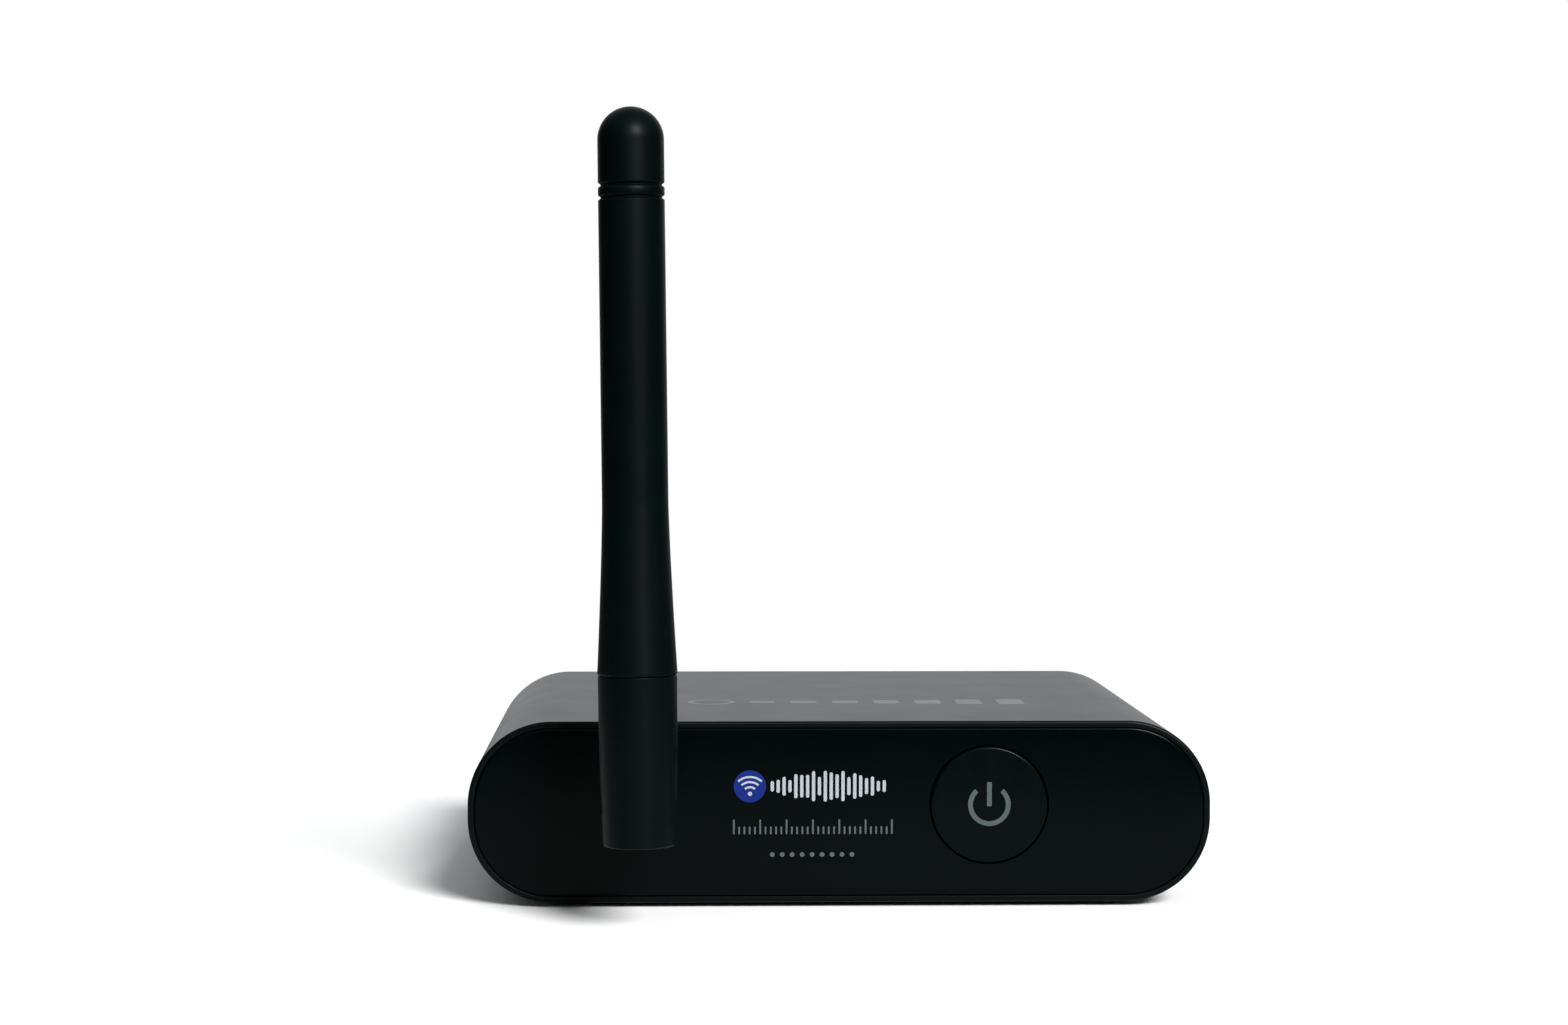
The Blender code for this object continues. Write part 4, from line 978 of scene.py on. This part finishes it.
def bar_mark(x, z, width, height, steps=4):
    """A printed upright bar with round ends, centred on a point of the front panel."""
    radius = min(width, height) / 2 - 0.001
    outline = rounded_rectangle(x - width / 2, z - height / 2, x + width / 2, z + height / 2, radius, steps)
    return prism(outline, -INK, SUNK)


def arc_mark(x, z, radius, stroke, start_deg, end_deg, lift):
    """A printed arc about a point of the front panel, standing off by a lift more than other ink."""
    outline = arc(radius + stroke / 2, start_deg, end_deg, 20, (x, z))
    outline += arc(radius - stroke / 2, end_deg, start_deg, 20, (x, z))
    return prism(outline, -INK - lift, SUNK)


def spaced(first, last, count):
    """Evenly spaced places from the first to the last."""
    step = (last - first) / (count - 1)
    return [first + i * step for i in range(count)]


def make_badge():
    """A round blue badge with a dot and three waves."""
    x, z, radius = -11.55, 15.5, 2.05
    badge = moved(rod(radius, -INK, SUNK, ROUND), x, 0.0, z)
    add_piece("mark_badge", badge, INKS["blue"], "root")
    waves = [arc_mark(x, z - 1.05, reach, 0.26, 48, 132, INK) for reach in (0.95, 1.6, 2.25)]
    dot = moved(rod(0.27, -2 * INK, SUNK, TINY), x, 0.0, z - 0.95)
    add_piece("mark_badge_waves", gathered(waves + [dot]), INKS["white"], "root")


def make_sound_wave():
    """A row of bars that swells and ebbs like a sound."""
    mid_z, width, tallest, bars = 15.5, 0.42, 4.1, 20
    row = []
    for i, x in enumerate(spaced(-8.7, 5.6, bars)):
        swell = 0.35 + 0.65 * math.sin(math.pi * (i + 0.5) / bars)
        ripple = 0.55 + 0.45 * abs(math.sin(1.9 * i + 0.6))
        row.append(bar_mark(x, mid_z, width, tallest * swell * ripple))
    add_piece("mark_sound_wave", gathered(row), INKS["white"], "root")


def make_tick_scale():
    """A fine scale whose every fifth tick is longer, level along its top."""
    mid_z, width, short, long = 10.3, 0.22, 1.0, 1.9
    row = []
    for i, x in enumerate(spaced(-13.6, 6.6, 31)):
        height = long if i % 5 == 0 else short
        row.append(bar_mark(x, mid_z - (long - height) / 2, width, height))
    add_piece("mark_scale", gathered(row), INKS["grey"], "root")


def make_dot_row():
    """A row of fine dots under the scale."""
    z, radius = 6.75, 0.3
    row = [moved(rod(radius, -INK, SUNK, TINY), x, 0.0, z) for x in spaced(-8.7, 1.5, 9)]
    add_piece("mark_dots", gathered(row), INKS["grey"], "root")


def make_top_marks():
    """A generic print on the lid: a ring, then seven bars that grow like a volume scale."""
    top, mid_y = CASE_HIGH.z, 26.0
    first_x, pitch, bars, half_width = -9.3, 5.6, 7, 1.75
    solids = []
    for i in range(bars):
        x, half = first_x + i * pitch, 1.2 + 0.38 * i
        outline = rounded_rectangle(x - half_width, mid_y - half, x + half_width, mid_y + half, 0.5)
        solids.append(loft([[(x, y, z) for x, y in outline] for z in (top - SUNK, top + INK / 2)]))
    ring_x, ring_radius, stroke = -16.2, 3.3, 0.8
    ring = turned([
        (ring_radius - stroke, top - SUNK),
        (ring_radius, top - SUNK),
        (ring_radius, top + INK / 2),
        (ring_radius - stroke, top + INK / 2),
    ], ROUND, closed=True)
    solids.append(moved(ring, ring_x, mid_y, 0.0))
    add_piece("mark_lid", gathered(solids), INKS["satin"], "root")


def make_rear_ring(name, node, stroke, ink):
    """A thin printed ring on the rear panel round the socket that the node belongs to."""
    radius = 5.2
    ring = turned([
        (radius, DEPTH - SUNK),
        (radius + stroke, DEPTH - SUNK),
        (radius + stroke, DEPTH + INK),
        (radius, DEPTH + INK),
    ], ROUND, closed=True, along="Y")
    add_piece(name, moved(ring, *axis_place(node)), INKS[ink], "root")


# ---------------------------------------------------------------- carried-over CAD pieces
def dress_cad_nodes():
    """Every CAD piece that stays gets the finish of its slot."""
    slots = {entry["node"]: entry["material_slot"] for entry in frame["record"]["subparts"]}
    for name, node in frame["nodes"].items():
        if node.hide_render:
            continue
        node.data.materials.clear()
        node.data.materials.append(MATERIALS[slots[name]])


# ---------------------------------------------------------------- stage, lights and camera
def make_floor():
    """A plain pale round table, a hair under the feet.

    It is small enough that what lies beyond it doesn't shine on the black fronts.
    """
    radius, gap = 0.17, 0.05
    bm = bmesh.new()
    bmesh.ops.create_circle(bm, cap_ends=True, segments=128, radius=radius)
    mesh = bpy.data.meshes.new("floor")
    bm.to_mesh(mesh)
    bm.free()
    material = finish("pale_floor", (0.75, 0.75, 0.75), 0.9, ior=1.2, mottle=0.004, mottle_size=60.0,
                      rough_spread=0.02, grain=2.0, depth=0.01)
    mesh.materials.append(material)
    floor = in_scene("floor", mesh)
    floor.location.z = -gap * MM


def smooth_step(tree, value, start, end, low, high):
    """A value that rises smoothly from low to high between start and end."""
    step = tree.nodes.new("ShaderNodeMapRange")
    step.interpolation_type = "SMOOTHSTEP"
    settings = {"From Min": start, "From Max": end, "To Min": low, "To Max": high}
    for name, setting in settings.items():
        step.inputs[name].default_value = setting
    link(tree, value, step.inputs["Value"])
    return step.outputs["Result"]


def combined(tree, operation, first, second):
    """Two values added or multiplied."""
    maths = tree.nodes.new("ShaderNodeMath")
    maths.operation = operation
    link(tree, first, maths.inputs[0])
    link(tree, second, maths.inputs[1])
    return maths.outputs["Value"]


def background(tree, colour):
    shade = tree.nodes.new("ShaderNodeBackground")
    shade.inputs["Color"].default_value = (*colour, 1.0)
    return shade


def studio_strength(tree):
    """How bright the studio is in each direction: a sweep behind the object, a dim ceiling, a dark floor."""
    coords = tree.nodes.new("ShaderNodeTexCoord")
    axes = tree.nodes.new("ShaderNodeSeparateXYZ")
    link(tree, coords.outputs["Generated"], axes.inputs["Vector"])
    towards = tree.nodes.new("ShaderNodeVectorMath")
    towards.operation = "DOT_PRODUCT"
    towards.inputs[1].default_value = Vector((0.12, 1.0, 0.05)).normalized()
    link(tree, coords.outputs["Generated"], towards.inputs[0])
    sweep = smooth_step(tree, towards.outputs["Value"], 0.62, 0.95, 0.0, 1.0)
    ceiling = smooth_step(tree, axes.outputs["Z"], 0.25, 0.9, 0.07, 0.5)
    above = smooth_step(tree, axes.outputs["Z"], -0.08, 0.0, 0.1, 1.0)
    return combined(tree, "MULTIPLY", combined(tree, "ADD", sweep, ceiling), above)


def make_world():
    """A pale studio: white to look at, but lighting the object mostly with the bright sweep behind it."""
    world = bpy.data.worlds.new("studio")
    bpy.context.scene.world = world
    world.use_nodes = True
    tree = world.node_tree
    tree.nodes.clear()
    light = background(tree, (0.96, 0.985, 1.0))
    link(tree, studio_strength(tree), light.inputs["Strength"])
    white = background(tree, (1.0, 1.0, 1.0))
    path = tree.nodes.new("ShaderNodeLightPath")
    mix = tree.nodes.new("ShaderNodeMixShader")
    link(tree, path.outputs["Is Camera Ray"], mix.inputs["Fac"])
    link(tree, light.outputs["Background"], mix.inputs[1])
    link(tree, white.outputs["Background"], mix.inputs[2])
    output = tree.nodes.new("ShaderNodeOutputWorld")
    link(tree, mix.outputs["Shader"], output.inputs["Surface"])


def facing(towards_light):
    """The turn of a light that stands off in the direction given and shines back at the object."""
    return towards_light.to_track_quat("Z", "Y").to_euler()


def make_lights():
    """One broad soft light from the front right, and a wide softbox in front for a streak of gloss."""
    key_data = bpy.data.lights.new("soft_key", "SUN")
    key_data.energy = 6.6
    key_data.angle = math.radians(20)
    key = in_scene("soft_key", key_data)
    key.rotation_euler = facing(Vector((0.32, -0.75, 0.5)))
    box_data = bpy.data.lights.new("wide_softbox", "AREA")
    box_data.shape = "RECTANGLE"
    box_data.size = 1.0
    box_data.size_y = 0.6
    box_data.energy = 2.0
    box = in_scene("wide_softbox", box_data)
    box.location = (0.12, -0.95, 0.5)
    box.rotation_euler = facing(Vector((0.12, -0.95, 0.45)))
    box.visible_camera = False


def make_camera():
    """The camera's place and aim are those that the object's outline was seen from."""
    place = Vector((-21.18, -413.24, 65.7)) * MM + CASE_ORIGIN
    yaw, pitch, roll = math.radians(1.929), math.radians(2.112), math.radians(0.092)
    forward = Vector((math.sin(yaw) * math.cos(pitch), math.cos(yaw) * math.cos(pitch), -math.sin(pitch)))
    right = forward.cross(Vector((0.0, 0.0, 1.0))).normalized()
    up = right.cross(forward)
    turned_right = right * math.cos(roll) + up * math.sin(roll)
    turned_up = up * math.cos(roll) - right * math.sin(roll)
    data = bpy.data.cameras.new("camera")
    data.sensor_width = 36.0
    data.lens = 74.69
    camera = in_scene("camera", data)
    axes = Matrix((turned_right, turned_up, -forward)).transposed()
    camera.matrix_world = Matrix.Translation(place) @ axes.to_4x4()
    bpy.context.scene.camera = camera


make_camera()
make_sleeve()
make_front_panel()
make_rear_panel()
for screw_side in ("left", "right"):
    make_rear_screw(screw_side)
for foot_corner in ("front_left", "front_right", "rear_left", "rear_right"):
    make_foot(foot_corner)
make_button_cap()
make_button_symbol()
make_jack()
make_jack_nut()
make_jack_washer()
make_coupling_nut()
make_nut_insert()
make_knuckle()
make_aerial_base()
make_hinge_pin()
make_mast()
make_phono_socket("left", "phono_white")
make_phono_socket("right", "phono_red")
make_power_jack_body(axis_place("power_jack_pin"))
make_power_jack_pin(axis_place("power_jack_pin"))
make_optical_body()
make_optical_emitter()
make_optical_shutter()
make_badge()
make_sound_wave()
make_tick_scale()
make_dot_row()
make_top_marks()
make_rear_ring("mark_ring_left", "phono_barrel_left", 0.35, "white")
make_rear_ring("mark_ring_right", "phono_barrel_right", 0.35, "red")
make_rear_ring("mark_ring_power", "power_jack_pin", 0.2, "grey")
dress_cad_nodes()
make_floor()
make_world()
make_lights()
bpy.context.scene.view_settings.view_transform = "Standard"
